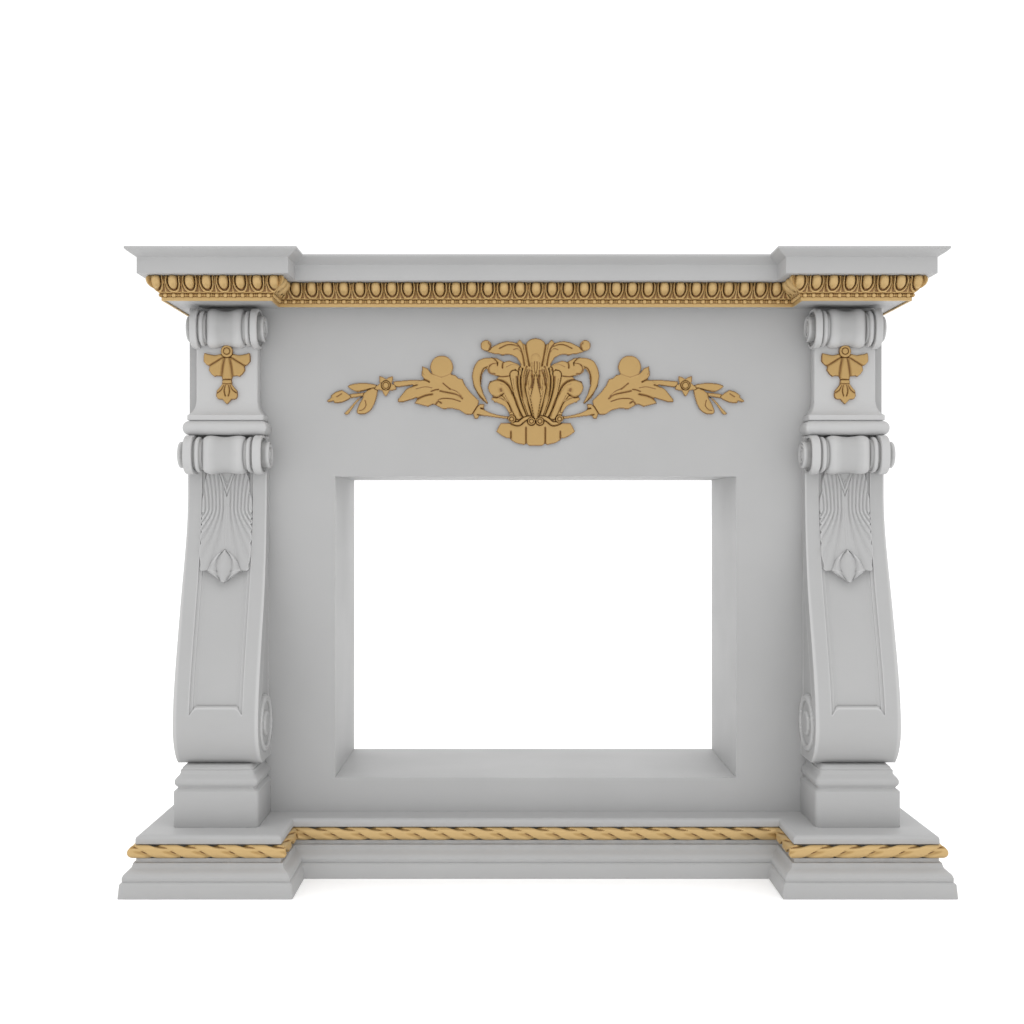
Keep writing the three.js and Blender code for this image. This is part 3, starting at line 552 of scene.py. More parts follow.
def console_shaft(u, v):
    """The shaft's skin, round from the middle of its back: one side, the front, the other."""
    side, front = SIDE_COLUMNS, FRONT_COLUMNS
    count = 2 * side + front + 2
    column = np.round(u * count)
    rise = np.where(v < 0.93, v / 0.93 * 0.84, 0.84 + (v - 0.93) / 0.07 * 0.16)
    z = SHAFT_BOTTOM + (BLOCK_TOP - SHAFT_BOTTOM) * rise
    half = SHAFT_HALF + 3.1 * ease(-z, -730, -520)
    out = shaft_out(z)
    place = (column - side - 1) / front * 2 - 1
    away = np.abs(place)
    widen = np.where(away > 0.84, 1 + (half / SHAFT_HALF - 1) * (away - 0.84) / 0.16, 1)
    x_front = np.sign(place) * widen * np.interp(
        away, [0, 0.54, 0.84, 0.999, 1], [0, 42, 51.5, SHAFT_HALF, SHAFT_HALF])
    share = np.clip(np.where(column < side + 1, (column - 1) / side,
                             1 - (column - side - 1 - front) / side), 0, 1)
    on_front = (column >= side + 1) & (column <= side + 1 + front)
    on_back = (column == 0) | (column == count)
    depth = np.where(on_front, out - sunk_panel(x_front, z), 0.3 + (out - 0.3) * share)
    edge_clear = np.where(share < 1, 1, 0)
    x_side = half + side_relief(depth, z) * edge_clear
    x = np.where(on_front, x_front, np.where(column < side + 1, -x_side, x_side))
    x = np.where(on_back, 0, x)
    depth = np.where(on_back, 0.3, depth)
    return PILLAR + x, FACE - depth, z


def scroll_roll(name, axis_out, axis_z, waist, lobe, depth, lobe_at, groove, groove_at, rib,
                rib_at, disc, disc_from, disc_to, boss, boss_to, sides=96):
    """A scroll that lies across the pillar: a waisted barrel, a bead on each side of it, and
    a disc at each end with a spiral boss. The sizes are its radii, and its stations along
    half its length."""
    profile = [(0, waist)]
    profile += [(lobe_at * t, waist + (lobe - waist) * (1 - math.cos(math.pi * t)) / 2)
                for t in (0.15, 0.3, 0.45, 0.6, 0.75, 0.9, 1)]
    profile += [(lobe_at + (groove_at - lobe_at) * math.sin(t * math.pi / 2),
                 groove + (lobe - groove) * math.cos(t * math.pi / 2)) for t in (0.2, 0.4, 0.6, 0.8, 1)]
    profile += [(groove_at + 0.6, groove - 1)]
    profile += [(rib_at - 4.6 * math.cos(a), groove - 1 + (rib - groove + 1) * math.sin(a))
                for a in np.linspace(0.1, math.pi - 0.1, 9)]
    profile += [(disc_from - 0.4, groove - 1), (disc_from, groove), (disc_from + 0.2, disc - 1.2),
                (disc_from + 1.4, disc), (disc_to - 1.2, disc), (disc_to, disc - 1.2),
                (disc_to, disc - 5), (disc_to - 2.5, disc - 6.2), (disc_to - 2.5, boss + 0.6),
                (boss_to - 1, boss), (boss_to, boss - 1)]
    face = np.linspace(1, 0, 26)[1:]
    profile += [(boss_to, (boss - 1) * share) for share in face]
    half = np.array(profile)
    whole = np.concatenate([half[:0:-1] * (-1, 1), half])
    stations = len(whole) - 1

    def place(u, v):
        index = np.round(u * stations).astype(int)
        x, radius = whole[index, 0], whole[index, 1]
        angle = -v * 2 * math.pi
        flat = np.where(np.abs(x) < groove_at, depth / lobe, 1)
        rise, reach = np.sin(angle), np.cos(angle)
        square = np.where(radius > boss, 0.78, 1)
        up = radius * np.sign(rise) * np.abs(rise) ** square
        across = radius * np.sign(reach) * np.abs(reach) ** square * flat
        on_face = (np.abs(x) >= boss_to - 0.01) & (radius < boss - 1.5)
        band = np.maximum(spiral_band(across, up, boss - 2.5, 9, 1.6, 3.2),
                          1 - ease(radius, 6.5, 8))
        x = x - np.sign(x) * np.where(on_face, 3.2 * (1 - band), 0)
        return PILLAR + x, FACE - axis_out - across, axis_z + up

    piece = sheet(name, stations, sides, place)
    close(piece)
    bpy.ops.object.mode_set(mode="EDIT")
    bpy.ops.mesh.select_all(action="SELECT")
    bpy.ops.mesh.normals_make_consistent(inside=False)
    bpy.ops.object.mode_set(mode="OBJECT")
    saw(piece, (0, FACE - 0.3, 0), (0, 1, 0))
    return piece


def one_piece(name, parts):
    """Glues parts that are carved from one block."""
    bpy.ops.object.select_all(action="DESELECT")
    for part in parts:
        part.select_set(True)
    bpy.context.view_layer.objects.active = parts[0]
    bpy.ops.object.join()
    parts[0].name = name
    bpy.ops.object.shade_smooth_by_angle(angle=math.radians(38))
    mark_hollows(parts[0])
    return parts[0]


LEAF_TOP = 786
LEAF_TIP = 570
LEAF_NECK = 715
LOCK_WIDTH = 7


def leaf_spread(z):
    """How far the leaf's locks have spread at a height: they are closest at the neck."""
    over, under = np.maximum(z - LEAF_NECK, 0), np.maximum(LEAF_NECK - z, 0)
    return 1 + 0.00005 * over ** 2 + 0.033 * under ** 2 / (under + 36)


def leaf_relief(x, z):
    """The acanthus leaf over the panel's head: locks with valleys between them, a midrib, a
    fork with a notch at the top, and a shield-shaped bud of three lobes at the tip."""
    across = np.abs(x)
    lock = across / (LOCK_WIDTH * leaf_spread(z))
    ridge = np.abs(np.sin(math.pi * np.maximum(lock, 0.5))) ** 0.75
    height = 1.4 + 3.4 * ridge
    fork = 0.34 * (z - 738) - across
    forked = 1.4 + 3.4 * np.abs(np.sin(math.pi * np.maximum(fork, 0) / 6.5)) ** 0.75
    height = np.where(fork > 0, forked, height)
    height = height - (height - 0.4) * ease(10 * (z - 763) / 23 - across, 0, 2.4)
    midrib = np.clip(1 - (across / 3.6) ** 2, 0, 1) * ease(-z, -735, -715) * ease(z, 628, 650)
    height = np.maximum(height, 2.2 + 3.8 * np.sqrt(midrib) * (midrib > 0))
    shield = np.interp(z, [571, 593, 602, 611, 620, 628, 635], [0, 33, 29, 25.5, 20, 12, 0])
    middle = np.interp(z, [571, 576, 585, 602, 615, 625, 635], [3, 7, 12, 15.5, 14, 9, 0.01])
    beside = np.clip((across - middle) / np.maximum(shield - middle, 1), 0, 1)
    lobe = np.where(
        across < middle, 5 + 6 * np.clip(1 - (across / np.maximum(middle, 1)) ** 2, 0, 1),
        4.6 + 4.2 * np.sin(math.pi * beside) ** 0.9)
    return np.where(across < shield, lobe, height)


def leaf_half(z):
    """Half the leaf's width at a height, notched where a lock ends."""
    notch = 1 - np.abs(np.sin(math.pi * 52 / (LOCK_WIDTH * leaf_spread(z)))) ** 0.75
    body = np.interp(z, [570, 571.5, 592.5, 593.5, 598, 607, 640, 735, 745, 760, 775, 786],
                     [0.5, 2, 32.5, 46, 49.5, 51, 52.5, 50.5, 48, 46.5, 43.5, 42.5])
    return body - 3 * notch * (z > 600)


def leaf_place(u, v):
    """The leaf's skin, laid over the shaft's curve, its edges turned down into the panel."""
    z = LEAF_TOP - (LEAF_TOP - LEAF_TIP) * v
    x = (2 * u - 1) * leaf_half(z)
    rim = np.clip((1 - np.abs(2 * u - 1)) / 0.035, 0, 1)
    height = -9.5 + (9.5 + leaf_relief(x, z)) * ease(rim, 0, 1) * ease(1 - v, 0, 0.012)
    return PILLAR + x, FACE - shaft_out(z) - height, z


shaft = sheet("shaft", 2 * SIDE_COLUMNS + FRONT_COLUMNS + 2, 330, console_shaft)
close(shaft)
lower_roll = scroll_roll(
    "lower_roll", axis_out=40.5, axis_z=820.2, waist=35, lobe=37.8, depth=29.3, lobe_at=28,
    groove=31, groove_at=41, rib=35, rib_at=50.2, disc=38.2, disc_from=58.8, disc_to=75.5,
    boss=25.7, boss_to=88.8)
leaf = sheet("leaf", 140, 200, leaf_place)
leaf.data.flip_normals()
console = one_piece("carved_console_right", [shaft, lower_roll, leaf])
fit(console, "paint", "console_right")
fit(left_hand(console, "carved_console_left"), "paint", "console_left")


# Frieze consoles: a block with a flared foot over a torus, and a smaller roll under the
# shelf, carved from one piece of wood and painted. Each stands on the console below it.
frieze_levels = [
    *arc((11, 858.6), (27.5, 859.5), (27.5, 886), (11, 887), 12),
    (15.6, 888.7), (15.6, 896.4),
    *arc((15.4, 898.2), (8, 902), (1.5, 910), (0, 927), 8),
    (0, 930), (0, 1085),
]
frieze_block = stack("frieze_block", pier(60.6, 29.9, 3.5, 0.92), frieze_levels, edge=0.7)
upper_roll = scroll_roll(
    "upper_roll", axis_out=28.5, axis_z=1068.7, waist=34.3, lobe=38.8, depth=27.3, lobe_at=26,
    groove=31.5, groove_at=36.5, rib=35.4, rib_at=45, disc=38.8, disc_from=51.9, disc_to=65.4,
    boss=25.3, boss_to=75.4)
frieze = one_piece("carved_frieze_console_right", [frieze_block, upper_roll])
fit(frieze, "paint", "frieze_console_right")
fit(left_hand(frieze, "carved_frieze_console_left"), "paint", "frieze_console_left")


# Shell drops: a ringed boss, a fan of five flutes and a bell of three lobes, carved from a
# thin board, gilded and glued on under each upper roll. A blank board is built up mass by
# mass, and gouges are cut into it.
class Board:
    """A board of height values on a fine grid, from which an ornament is carved."""

    def __init__(self, x_range, z_range, step):
        self.columns = int(round((x_range[1] - x_range[0]) / step))
        self.rows = int(round((z_range[1] - z_range[0]) / step))
        self.x = np.linspace(*x_range, self.columns + 1)[None, :].repeat(self.rows + 1, 0)
        self.z = np.linspace(*z_range, self.rows + 1)[:, None].repeat(self.columns + 1, 1)
        self.height = np.zeros_like(self.x)

    def near(self, points, reach):
        """The part of the board within reach of the points."""
        low = np.min(points, 0) - reach
        high = np.max(points, 0) + reach
        columns = np.where((self.x[0] >= low[0]) & (self.x[0] <= high[0]))[0]
        rows = np.where((self.z[:, 0] >= low[1]) & (self.z[:, 0] <= high[1]))[0]
        return np.ix_(rows, columns)

    def lay(self, window, inside, outside, rise, moat=2):
        """Lays a lobe over the board: a moat is cut round it, then the lobe rises. With no
        moat it flows into what lies under it."""
        ground = self.height[window]
        if not moat:
            self.height[window] = np.where(inside, np.maximum(ground, rise), ground)
            return
        ground = ground * (1 - 0.5 * np.clip(1 - outside / moat, 0, 1) * (outside > 0))
        self.height[window] = np.where(inside, np.maximum(ground * 0.55, rise), ground)

    def lobe(self, points, widths, height, edge=0.42, moat=2):
        """A leaf or stem along a smooth curve through the points. widths are half-widths
        spread evenly along it."""
        line = smooth_line(points)
        window = self.near(line, max(widths) + 3)
        away, along = from_line(line, self.x[window], self.z[window])
        width = np.interp(along, np.linspace(0, 1, len(widths)), widths)
        across = np.clip(away / np.maximum(width, 0.1), 0, 1)
        rise = height * (edge + (1 - edge) * np.sqrt(1 - across ** 2))
        self.lay(window, away < width, away - width, rise, moat)

    def mass(self, outline, height, rounding=5, edge=0.45, moat=0.9, smooth=True):
        """A filled shape inside a closed outline, its surface rounded off towards the edge."""
        line = np.array(outline + outline[:1], float)
        if smooth:
            line = smooth_line(outline + outline[:3], 5)[5:-5]
        window = self.near(line, 2)
        x, z = self.x[window], self.z[window]
        away = from_line(line, x, z)[0]
        inside = np.zeros(x.shape, bool)
        for a, b in zip(line[:-1], line[1:]):
            way = b - a
            crossed = (a[1] > z) != (b[1] > z)
            inside ^= crossed & (x < a[0] + (z - a[1]) * way[0] / (way[1] if way[1] else 1e-9))
        depth = 1 - np.clip(away / rounding, 0, 1)
        rise = height * (edge + (1 - edge) * np.sqrt(1 - depth ** 2))
        self.lay(window, inside, np.where(inside, 0, away), rise, moat)

    def boss(self, x, z, radius, height, rings=(), edge=0.5, moat=2):
        """A round boss, with sunk rings."""
        window = self.near(np.array([(x, z)]), radius + 3)
        away = np.hypot(self.x[window] - x, self.z[window] - z)
        rise = height * (edge + (1 - edge) * np.sqrt(np.clip(1 - (away / radius) ** 2, 0, 1)))
        for ring in rings:
            rise = rise - 0.3 * height * np.exp(-((away - ring) / 0.9) ** 2)
        self.lay(window, away < radius, away - radius, rise, moat)

    def dent(self, points, width, depth):
        """A gouge cut along a line. It opens wider than its edge, by the flare."""
        flare = 1.4
        line = smooth_line(points) if len(points) > 2 else np.array(points, float)
        window = self.near(line, width * 3)
        away = from_line(line, self.x[window], self.z[window])[0]
        cut = depth * np.exp(-(away / (flare * width)) ** 2)
        ground = self.height[window]
        self.height[window] = np.where(ground > 0, np.maximum(ground - cut, 0.8), ground)

    def inside(self, covered):
        """What is left of a covered area, one step in from its outline."""
        wide = np.pad(covered, 1, mode="edge")
        return covered & wide[2:, 1:-1] & wide[:-2, 1:-1] & wide[1:-1, 2:] & wide[1:-1, :-2]

    def cut_out(self, name, centre, stand_out, mirror):
        """Saws the ornament out of the board, with upright edges down to its ground."""
        core = self.inside(self.inside(self.height > 0))
        inner = self.inside(core)
        rim = []

        def place(u, v):
            column = np.round(u * self.columns).astype(int)
            row = np.round(v * self.rows).astype(int)
            rim.append(np.where(inner[row, column], 0, np.where(core[row, column], 0.5, 1)))
            return (centre[0] + self.x[row, column],
                    FACE - stand_out - 0.3 - self.height[row, column],
                    centre[1] + self.z[row, column])

        piece = sheet(name, self.columns, self.rows, place)
        piece.data.attributes.new("rim", "FLOAT", "POINT").data.foreach_set(
            "value", rim[0].astype(np.float32))
        bpy.ops.object.mode_set(mode="EDIT")
        bpy.ops.mesh.select_all(action="DESELECT")
        mesh = bmesh.from_edit_mesh(piece.data)
        ground = (FACE - stand_out - 0.6) / 1000
        for vertex in mesh.verts:
            vertex.select = vertex.co.y > ground
        mesh.select_flush_mode()
        bmesh.update_edit_mesh(piece.data)
        bpy.ops.mesh.delete(type="VERT")
        bpy.ops.mesh.select_all(action="DESELECT")
        bpy.ops.mesh.select_non_manifold()
        mesh = bmesh.from_edit_mesh(piece.data)
        if mirror:
            for vertex in mesh.verts:
                if vertex.co.x < 1e-5:
                    vertex.select = False
            mesh.select_flush_mode()
            for edge in mesh.edges:
                edge.select = edge.is_boundary and edge.verts[0].select and edge.verts[1].select
            bmesh.update_edit_mesh(piece.data)
        for _ in range(2):
            bpy.ops.mesh.vertices_smooth(factor=0.5)
        bpy.ops.mesh.extrude_region_move()
        mesh = bmesh.from_edit_mesh(piece.data)
        for vertex in mesh.verts:
            if vertex.select:
                vertex.co.y = (FACE - stand_out - 0.1) / 1000
        bmesh.update_edit_mesh(piece.data)
        bpy.ops.object.mode_set(mode="OBJECT")
        if mirror:
            twin = piece.modifiers.new("other half", "MIRROR")
            twin.use_clip = True
            bpy.ops.object.modifier_apply(modifier=twin.name)
        bpy.ops.object.shade_smooth_by_angle(angle=math.radians(60))
        mark_hollows(piece, 10)
        # The outline rows count as hollow too, so painted shade darkens the ornament's edge where it meets
        # the panel.
        mesh = piece.data
        hollow = np.empty(len(mesh.vertices), np.float32)
        edge = np.empty(len(mesh.vertices), np.float32)
        mesh.attributes["hollow"].data.foreach_get("value", hollow)
        mesh.attributes["rim"].data.foreach_get("value", edge)
        mesh.attributes["hollow"].data.foreach_set("value", np.maximum(hollow, 0.56 * edge))
        return piece


def smooth_line(points, steps=7):
    """A smooth curve through the points, as short straight steps."""
    points = np.array(points, float)
    if len(points) < 3:
        return np.linspace(points[0], points[-1], 4)
    ends = np.concatenate([[2 * points[0] - points[1]], points, [2 * points[-1] - points[-2]]])
    t = np.linspace(0, 1, steps, endpoint=False)[:, None]
    parts = []
    for a, b, c, d in zip(ends[:-3], ends[1:-2], ends[2:-1], ends[3:]):
        parts.append(0.5 * (2 * b + (c - a) * t + (2 * a - 5 * b + 4 * c - d) * t ** 2
                            + (3 * b - a - 3 * c + d) * t ** 3))
    return np.concatenate([*parts, points[-1:]])


def from_line(line, x, z):
    """How far each point lies from a line, and how far along it, from 0 to 1, it is nearest."""
    away = np.full(x.shape, 1e9)
    along = np.zeros(x.shape)
    for i, (a, b) in enumerate(zip(line[:-1], line[1:])):
        way = b - a
        t = np.clip(((x - a[0]) * way[0] + (z - a[1]) * way[1]) / max(way @ way, 1e-9), 0, 1)
        gap = np.hypot(x - a[0] - t * way[0], z - a[1] - t * way[1])
        closer = gap < away
        away = np.where(closer, gap, away)
        along = np.where(closer, (i + t) / (len(line) - 1), along)
    return away, along


shell = Board((-50, 50), (-108, 14), 0.8)
shell_side = [
    (12.6, -5.1), (23.9, -7.5), (37, -5.1), (44.9, -2.8), (46.8, -12.2), (46.4, -20.7),
    (40.8, -27.3), (35.2, -30.1), (36.1, -38.5), (30.5, -46.1), (24.8, -50.8), (19.2, -49.3),
    (11.7, -50.2), (9.8, -55.5), (10.3, -64.9), (14.5, -70.5), (21, -78), (21.6, -89.3),
    (18.2, -94.9), (8.8, -95.9), (5, -100.6), (0.4, -105.3)]
other_side = [(-x, z) for x, z in reversed(shell_side)]
shell.mass([(0, -2)] + shell_side + other_side, 7.4, 7, edge=0.5, smooth=False)
for side in (-1, 1):
    shell.dent([(side * 7, -11.3), (side * 22, -21), (side * 35.2, -29.1)], 1.3, 3.6)
    shell.dent([(side * 5, -12.2), (side * 8.5, -31), (side * 10.7, -49.8)], 2, 4.4)
    shell.dent([(side * 3.2, -66.7), (side * 5.3, -78), (side * 3, -88)], 1, 3)
    shell.dent([(side * 6, -66.7), (side * 11, -76), (side * 18.2, -81.8)], 1, 3)
shell.dent([(-10, -55.8), (10, -55.8)], 0.9, 3.2)
shell.dent([(-9.5, -63.4), (0, -64.4), (9.5, -63.4)], 0.8, 2.6)
shell.boss(0, 0, 12.2, 8.5, rings=(6.4,), edge=0.75)
shell_drop = shell.cut_out("carved_shell_drop_right", (PILLAR - 1.2, 1024.5), 29.9, False)
fit(shell_drop, "gilt", "shell_drop_right")
fit(left_hand(shell_drop, "carved_shell_drop_left"), "gilt", "shell_drop_left")


# Centre spray: a palmette of acanthus over a fluted foot, with scrolls, side leaves, star
# flowers and budding twigs, gilded and glued to the middle of the panel. One half is carved
# and the other mirrors it.
spray = Board((0, 420), (-60, 166), 1.0)
# end twig: its leaves, and the bud past them
spray.mass([(344.7, 43.5), (351.9, 40.5), (362, 31.3), (374.2, 17.1), (381.4, 10), (378.3, 6.5),
            (372.2, 7.9), (360, 25.2), (349.8, 37.4)], 5, 3)
spray.mass([(316, 60), (341.7, 51.7), (370.2, 48), (371, 39.5), (345.7, 43.5), (318, 50)], 5.6, 3)
spray.mass([(316, 66), (331.5, 69.6), (343.7, 70.4), (362, 69), (374.4, 63.9), (368, 56.8),
            (355.9, 51.7), (346.8, 52.7), (329.5, 57), (314, 58)], 6.6, 5)
spray.mass([(314, 52), (318.3, 33.4), (326.4, 17.1), (339.6, 7.9), (352.9, 7.9), (356.9, 13),
            (353.9, 23.2), (344.7, 41.5), (341.7, 50), (331.5, 58), (316, 60)], 7, 6)
spray.dent([(329.5, 58.2), (341, 55), (355.9, 53.2)], 0.9, 2.6)
spray.dent([(339.6, 35.4), (337.6, 25.2), (343.7, 17.1), (350.8, 15)], 0.8, 1.8)
spray.mass([(368, 43.5), (374.2, 49.6), (385.4, 56.8), (398.7, 52.7), (408.8, 44.6), (406.8, 42.5),
            (416.5, 34.4), (413.9, 30.9), (402.7, 33.4), (401.7, 29.3), (386.4, 30.3), (376.3, 34.4),
            (369.2, 38.5)], 7, 6, smooth=False)
spray.dent([(386.4, 48.6), (395.6, 42.5)], 0.9, 2)
# stem, and the star flower that it carries
spray.mass([(224, 76.6), (250, 76.4), (284, 73.5), (284, 61.5), (270.5, 61.7), (244, 65.6),
            (228, 66)], 6, 4, smooth=False)
STAR_AXIS = (298, 65.2)
star = np.degrees(np.arctan2(spray.z - STAR_AXIS[1], STAR_AXIS[0] - spray.x)) - 53
point = np.abs(np.mod(star + 36, 72) - 36) / 36
star_away = np.hypot(spray.x - STAR_AXIS[0], spray.z - STAR_AXIS[1])
star_reach = 23.5 * 13 / (23.5 * point + 13 * (1 - point)) * (1 + 0.03 * np.sin(math.pi * point))
window = spray.near(np.array([STAR_AXIS]), 28)
spray.lay(window, (star_away < star_reach)[window], (star_away - star_reach)[window],
          (5.2 + 2.2 * (1 - point) * (1 - star_away / 30))[window])
spray.boss(*STAR_AXIS, 8.6, 8.2, edge=0.8, rings=(6,))
# side leaf, with the round fruit over it
spray.boss(187, 101.6, 23.4, 7.6, edge=0.6)
spray.mass([(112, 35), (116, 15), (128, 6), (140, 7), (152, 15), (169, 19), (185, 17), (199, 25),
            (205, 27), (215, 22), (242, 29), (236, 40), (262, 32), (275, 31), (275, 37), (258, 58),
            (245, 65), (234, 75), (223, 77.5), (228, 85), (226, 104), (215, 99.5), (206, 88),
            (188, 82), (170, 88), (160, 86), (154, 80), (145, 78), (140, 66), (128, 50)],
           8.4, 9, edge=0.5, moat=0, smooth=False)
spray.dent([(146, 39), (153, 45), (161, 48), (176, 51), (190, 54)], 1.4, 3.2)
spray.dent([(148, 44), (158, 53), (170, 58)], 1.0, 1.8)
spray.dent([(150, 33), (166, 38), (184, 39), (194, 36)], 1.0, 2.2)
spray.dent([(171, 58), (177, 63), (184, 69)], 1.2, 2.6)
spray.dent([(193, 57), (200, 56), (208, 53)], 1.1, 2.8)
spray.dent([(206, 47.5), (222, 44), (240, 36)], 1.5, 4)
spray.dent([(188, 30), (194, 33), (199, 27)], 1.3, 3.4)
spray.dent([(212, 72), (220, 76), (229, 77)], 1.2, 4)
spray.dent([(236, 66), (243, 64), (248, 62)], 1.0, 3.4)
spray.dent([(206, 60), (220, 62), (238, 58)], 0.8, 1.4)
spray.dent([(222, 86), (226, 92), (226, 98)], 0.7, 1.2)
# low tendril that runs out from the foot
spray.mass([(50, 4.5), (60, 4.4), (75, 7), (92, 12), (101, 17), (102.5, 21), (101.2, 28), (111.3, 28.6),
            (117.8, 21.8), (125.6, 8.9), (122, -1.6), (114.6, -1.6), (111, 4.8), (95, 3), (75, 0),
            (50, -3)], 6.8, 5, smooth=False)
spray.dent([(100, 17.2), (109, 19.6)], 1.1, 5)
spray.dent([(110.5, 6), (115.7, 7)], 1.0, 4)

# fluted foot, a part of a ring round the palmette's middle
foot_angle = np.degrees(np.arctan2(spray.x, 66 - spray.z))
foot_radius = np.hypot(spray.x, spray.z - 66)
foot_reach = np.interp(foot_angle, [0, 7, 8.9, 10.5, 18, 24, 26, 28, 34, 40.5],
                       [121.8, 121.8, 119, 121.6, 122.6, 121, 118.5, 121, 122, 122])
foot_side = np.interp(foot_radius, [90, 99, 122], [44, 43.3, 40.4])
groove = np.exp(-((spray.x - 19.2) / 1.9) ** 2) * ease(-spray.z, 14, 20)
groove = groove + np.exp(-((spray.x - 49.2) / 1.9) ** 2) * ease(-spray.z, 22, 28)
foot = (spray.z < np.where(spray.x > 46, -9, 2)) & (foot_radius < foot_reach) & (foot_angle < foot_side)
spray.height = np.where(
    foot, np.maximum(5.6 - 3.4 * groove - 1.6 * ease(foot_radius / foot_reach, 0.92, 1), 1.2), spray.height)

# outer scrolls and stems, that branch from one body
spray.mass([(-12, 0), (-12, 112), (27, 100), (30, 104), (35.5, 108.4), (52, 115), (62, 112.6),
            (68, 115), (76, 119.6), (87.6, 121.6), (104.9, 118), (120, 106.2), (127.6, 84.5),
            (124.3, 62.9), (111.3, 39.1), (98.4, 28.3), (94, 30.5), (102.7, 47.8), (108.1, 65),
            (106, 86.7), (99.5, 97.5), (96.2, 97.5), (94, 91), (83.2, 84.5), (74.6, 82.4),
            (79, 78), (91.9, 73.7), (96.2, 60.8), (90.8, 47.8), (86, 43.4), (88.2, 39.1),
            (82.2, 30.5), (70.3, 30.5), (59.5, 21.8), (53, 6.7), (50.8, 0)],
           7.4, 6, edge=0.5, smooth=False)
spray.lobe([(52, 14), (60, 27), (72, 34), (86, 38)], [3, 5, 6, 3], 5.4, edge=0.8)
spray.lobe([(96, 30), (113, 58), (118.4, 84), (110, 106), (92, 112), (84, 108)],
           [1.6, 6.2, 8.6, 9.6, 9, 8], 9, edge=0.5)
spray.boss(85.4, 97, 11.4, 8.6, edge=0.7, moat=0)
spray.dent([(76, 110), (88, 107), (93.5, 99), (90, 90), (81, 88)], 1.1, 2.4)
spray.dent([(64, 112), (66, 106), (66, 100)], 1.2, 3)
spray.dent([(36, 92), (42, 91), (40, 96.4)], 1.1, 3)
spray.dent([(34, 104), (46, 107), (58, 102)], 0.9, 1.2)
spray.dent([(40, 86.7), (55, 83.5), (68, 82.4), (76, 84)], 1.0, 2.6)
spray.lobe([(34, 4), (44, 30), (56, 48), (68, 60), (80, 60)], [7, 9, 9.5, 12, 15], 9, edge=0.55)
spray.boss(78.5, 60, 16.6, 9.4, edge=0.62, moat=0)
spray.dent([(46.5, 50), (52, 63), (63.8, 73.7), (79, 76.4), (90, 73)], 1.5, 4)
spray.dent([(64, 49), (70.3, 44.2), (78, 41.6), (88, 44)], 1.2, 4)
spray.dent([(69, 57), (68.5, 55)], 3.4, 4.4)
spray.dent([(52, 54), (60, 64), (70, 68)], 0.8, 1.2)
spray.dent([(60.5, 45), (52, 26), (47, 7)], 0.9, 1.6)
spray.lobe([(18, 2), (32, 30), (39, 58), (42, 86)], [5.5, 6.5, 6, 9], 9, edge=0.7)
spray.lobe([(13, 2), (25, 38), (31, 66), (30, 98)], [3.5, 4.6, 4, 3], 10.4, edge=0.6)
spray.dent([(46, 48), (40, 37), (34.6, 21.8), (29.2, 4.5)], 1.5, 3.4)
spray.dent([(37.5, 82), (36.1, 63), (30.3, 39), (22.7, 17.5), (16.2, 4.5)], 1.6, 4)
spray.dent([(45, 78), (42.5, 60), (38, 44)], 0.8, 1.4)
spray.lobe([(17, 110), (24, 86), (25.5, 64), (21.6, 39), (11, 4)], [4, 4, 4, 4.4, 3], 11.4, edge=0.6)
spray.dent([(31.3, 96), (30.3, 75.9), (27.4, 52), (19, 24), (12, 4.5)], 1.9, 5)
# crown of leaves, and the middle leaf that falls from it
spray.mass([(-12, 157.5), (0, 159.5), (10, 157.6), (17, 152.6), (20.5, 147.2), (24.9, 149.4), (31.3, 157),
            (38.9, 150), (48, 152.6), (57.3, 153.4), (70.3, 150.5), (85.4, 142.9), (92, 139),
            (102, 134), (92, 129.4), (81.1, 126.5), (74.6, 126.6), (66, 124), (57, 126), (47, 124),
            (38, 119), (31.3, 108.3), (29.2, 100), (20, 97), (12, 96), (-12, 96)],
           9.6, 5, edge=0.55, moat=0, smooth=False)
spray.lobe([(0, 118), (0, 100), (0, 66), (0, 0)], [10, 13, 18, 4.5], 12.6, edge=0.6, moat=0)
spray.dent([(18.4, 101.8), (23, 85), (23.2, 65), (19, 39), (12, 17.5), (8, 4.5)], 1.5, 4.6)
spray.dent([(11.9, 95.3), (17.3, 80.2), (19.6, 66)], 1.3, 3.6)
spray.dent([(6.5, 82), (5.4, 71), (8.4, 61)], 2.6, 6.4)
spray.dent([(7.6, 93), (7.4, 85)], 1.7, 3.6)
spray.dent([(12, 84), (14, 70), (12.6, 56)], 1.1, 2.4)
spray.lobe([(0, 88), (0, 66), (0, 40), (0, 2)], [1.2, 4.4, 10.5, 3.6], 13.4, edge=0.7, moat=0.8)
spray.boss(98.6, 144.4, 11.4, 9, edge=0.6, moat=1)
spray.dent([(92, 137), (90, 144), (94, 150)], 1.0, 2.4)
spray.dent([(20.2, 147), (18.4, 134), (15.6, 119), (12.6, 104)], 1.4, 4)
spray.dent([(25.4, 148), (23, 132), (19, 116), (17.4, 103)], 0.8, 1.8)
spray.dent([(38, 149), (30, 138), (25, 122), (22.4, 104)], 1.3, 3.4)
spray.dent([(36, 143), (46, 146), (57, 145.4), (72, 138.5)], 1.0, 2.6)
spray.dent([(29, 132), (36, 138), (44, 136)], 0.8, 1.6)
spray.dent([(2.5, 112), (3, 101), (1.6, 90)], 0.8, 2)
spray.dent([(7.4, 110), (7.6, 102), (8.6, 94)], 0.8, 1.8)
# small scrolls over the foot
spray.lobe([(47, -9), (34, -11), (22, -2), (10, 1)], [3, 3.6, 3.6, 3.2], 10.5, edge=0.6)
spray.boss(47.7, -2, 7.6, 10.5, edge=0.65, rings=(4.2,))
spray.boss(8.4, -6.3, 7.4, 10.5, edge=0.65, rings=(4.2,))
centre_spray = spray.cut_out("carved_centre_spray", (0, 895), 0, True)
fit(centre_spray, "gilt", "centre_spray")


